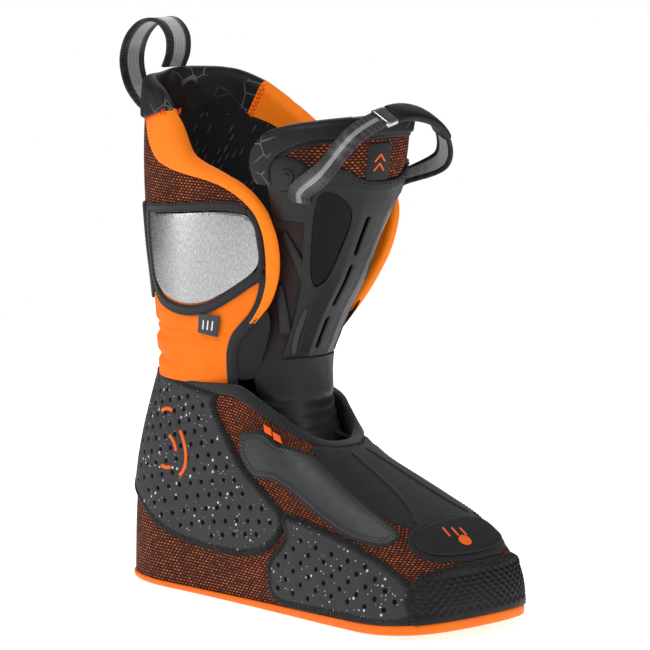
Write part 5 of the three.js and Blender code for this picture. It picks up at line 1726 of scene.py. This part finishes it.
def webbing(name, points, across, span, width, thick, material, count=90, swell=0.0):
    """Flat webbing along a curve, with rounded edges. swell pads its middle out."""
    t = np.linspace(*span, count)
    at, tangent = curve_at(points, t)
    flat = across(t)
    flat = flat - tangent * (flat * tangent).sum(1)[:, None]
    flat /= np.linalg.norm(flat, axis=1)[:, None]
    up = np.cross(tangent, flat)
    lengths = np.concatenate([[0], np.cumsum(np.linalg.norm(np.diff(at, axis=0), axis=1))])
    end = np.minimum(lengths, lengths[-1] - lengths)
    close = (1 - crown(end, 1.6) / 1.6 * 0.6) if swell else np.ones(count)
    profile = [(-1, 0.35), (-0.97, 0.8), (-0.88, 1), (-0.6, 1), (-0.3, 1), (0, 1), (0.3, 1), (0.6, 1),
               (0.88, 1), (0.97, 0.8), (1, 0.35)]
    profile += [(x, -y) for x, y in reversed(profile)]
    rows, offsets = [], []
    for x, y in profile:
        high = y * (thick / 2 + swell * math.sqrt(1 - x * x))
        rows.append(at + flat * (x * width / 2) + up * (high * close)[:, None])
        offsets.append(x * width / 2)
    return sweep(name, rows, lengths, offsets, material), at, flat, up


def edge_stitches(name, at, flat, up, width):
    """Whipped thread over both edges of a strap."""
    low, high = (int(share * (len(at) - 1)) for share in (0.02, 0.98))
    step = max(1, int(round(1.3 / np.linalg.norm(at[1] - at[0]))))
    picks = np.arange(low, high, step)
    starts, ends, normals = [], [], []
    for side in (-1, 1):
        for face in (-1, 1):
            edge = at[picks] + flat[picks] * side * (width / 2 + 0.1)
            starts.append(edge)
            inner = flat[picks] * side * (width / 2 - 2.0)
            ends.append(at[picks] + inner + up[picks] * face * (WEBBING / 2 + 0.05))
            normals.append(up[picks] * face * 0.8 + flat[picks] * side * 0.6)
    return stitches(name, np.vstack(starts), np.vstack(ends), np.vstack(normals), "thread_black", 0.28, 0.5)


def make_straps():
    sideways = lambda t: np.tile([0.0, 1.0, 0.0], (len(t), 1))
    loop, at, flat, up = webbing("rear_loop_webbing", LOOP_PATH, sideways, (0, 1), LOOP_WIDTH, WEBBING,
                                 "webbing_wide", count=180)
    finish_piece(loop, "cuff", "webbing", "rear_pull_loop")
    seam = edge_stitches("rear_loop_edge_stitches", at, flat, up, LOOP_WIDTH)
    finish_piece(seam, "cuff", "webbing")
    start, end = strap_foot(-1), strap_foot(1)
    points = [start[0], start[0] + start[1] * STRAP_RISE, *STRAP_MIDDLE, end[0] + end[1] * STRAP_RISE, end[0]]

    def across(t):
        first = smoothstep(t, 0.05, 0.3)[:, None]
        last = smoothstep(t, 0.7, 0.95)[:, None]
        flat = start[2] * (1 - first) + STRAP_ACROSS * first
        return flat * (1 - last) + end[2] * last

    low, high = SLEEVE
    legs = (("lateral", (0, low - FERRULE - STRAP_SPACE), "webbing"),
            ("medial", (high + STRAP_SPACE, 1), "webbing_pale"))
    for side, span, material in legs:
        leg, at, flat, up = webbing(f"{side}_pull_strap", points, across, span, STRAP_WIDTH, WEBBING,
                                    material)
        finish_piece(leg, "strap", "webbing", f"{side}_strap_leg")
        seam = edge_stitches(f"{side}_strap_edge_stitches", at, flat, up, STRAP_WIDTH)
        finish_piece(seam, "strap", "webbing")
    clip, *_ = webbing("strap_metal_ferrule", points, across, (low - FERRULE, low - STRAP_SPACE),
                       STRAP_WIDTH + 1.5, 4.0, "metal", count=12)
    finish_piece(clip, "strap", "ferrule_metal", "strap_ferrule")
    sleeve, at, flat, up = webbing("strap_padded_sleeve", points, across, SLEEVE, STRAP_WIDTH + 1, 3.4,
                                   "sleeve", swell=1.1)
    finish_piece(sleeve, "strap", "sleeve_foam", "strap_sleeve")
    middle = slice(14, len(at) - 14)
    stripe = [at[middle] + flat[middle] * x + up[middle] * y for x, y in
              ((-0.45, 2.76), (0.45, 2.76), (0.45, 2.2), (-0.45, 2.2))]
    mark = sweep("strap_sleeve_stripe", stripe, np.arange(len(stripe[0])) * 1.0, (0, 1, 2, 3), "print_orange")
    finish_piece(mark, "strap", "sleeve_foam")


# ---- the scene ---------------------------------------------------------------------------------------
LIGHT_AIM = (0.13, 0, 0.15)
FLOOR_REACH = 900
FLOOR_TOP = -0.6
VIEW = {"azimuth": 43.5, "elevation": 8.5, "distance": 2.4, "target": (0.130, 0.020, 0.170), "lens": 212.7}


def make_camera():
    turn, rise = math.radians(VIEW["azimuth"]), math.radians(VIEW["elevation"])
    back = Vector((math.sin(turn) * math.cos(rise), -math.cos(turn) * math.cos(rise), math.sin(rise)))
    data = bpy.data.cameras.new("camera")
    data.lens = VIEW["lens"]
    data.sensor_width = 36
    camera = bpy.data.objects.new("camera", data)
    camera.location = Vector(VIEW["target"]) + back * VIEW["distance"]
    camera.rotation_euler = back.to_track_quat("Z", "Y").to_euler()
    bpy.context.scene.collection.objects.link(camera)
    bpy.context.scene.camera = camera


def area_light(name, place, size, power):
    data = bpy.data.lights.new(name, "AREA")
    data.shape = "RECTANGLE"
    data.size, data.size_y = size
    data.energy = power
    light = bpy.data.objects.new(name, data)
    light.location = place
    light.rotation_euler = (Vector(place) - Vector(LIGHT_AIM)).to_track_quat("Z", "Y").to_euler()
    bpy.context.scene.collection.objects.link(light)


def studio_light(tree, strength):
    """Even white light from all round."""
    node = tree.nodes.new("ShaderNodeBackground")
    node.inputs["Color"].default_value = (1, 1, 1, 1)
    node.inputs["Strength"].default_value = strength
    return node.outputs[0]


def make_stage():
    """A white floor and studio, lit softly from above and from both sides."""
    corners = [(x * FLOOR_REACH, y * FLOOR_REACH, FLOOR_TOP) for x, y in ((-1, -1), (1, -1), (1, 1), (-1, 1))]
    plane = make_object("floor", corners, [(0, 1, 2, 3)], "floor")
    world = bpy.data.worlds.new("studio")
    world.use_nodes = True
    bpy.context.scene.world = world
    tree = world.node_tree
    output = tree.nodes["World Output"]
    path = tree.nodes.new("ShaderNodeLightPath")
    shader = studio_light(tree, 0.24)
    for ray, strength in (("Is Glossy Ray", 0.1), ("Is Camera Ray", 1.0)):
        mix = tree.nodes.new("ShaderNodeMixShader")
        tree.links.new(path.outputs[ray], mix.inputs[0])
        tree.links.new(shader, mix.inputs[1])
        tree.links.new(studio_light(tree, strength), mix.inputs[2])
        shader = mix.outputs[0]
    tree.links.new(shader, output.inputs[0])
    area_light("key", (0.1, -1.0, 1.3), (0.8, 0.6), 9)
    area_light("right", (1.3, 0.1, 0.6), (0.5, 1.1), 4.5)
    area_light("back", (-0.7, 0.9, 1.0), (0.8, 0.8), 5)
    area_light("side", (-0.98, -0.82, 0.12), (0.2, 1.1), 4)
    scene = bpy.context.scene
    scene.view_settings.view_transform = "Standard"


def make_liner():
    make_outsole()
    replace_board()
    make_foot_walls()
    make_foot_panels()
    make_toe()
    make_ankle()
    make_cuff_walls()
    make_rolls()
    make_zigzags()
    make_cuff_panels()
    make_spine()
    make_tag()
    make_tongue_walls()
    make_tongue_frame()
    make_label()
    make_bellows()
    make_straps()


def replace_board():
    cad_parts["lasting_board"].data.materials[0] = MATERIALS["board"]
    bed = plate("footbed_cloth", 3.2, 2.2, 5.0, "footbed", bow=2.0)
    finish_piece(bed, "foot", "footbed_foam", "insole")


make_camera()
make_stage()
make_liner()
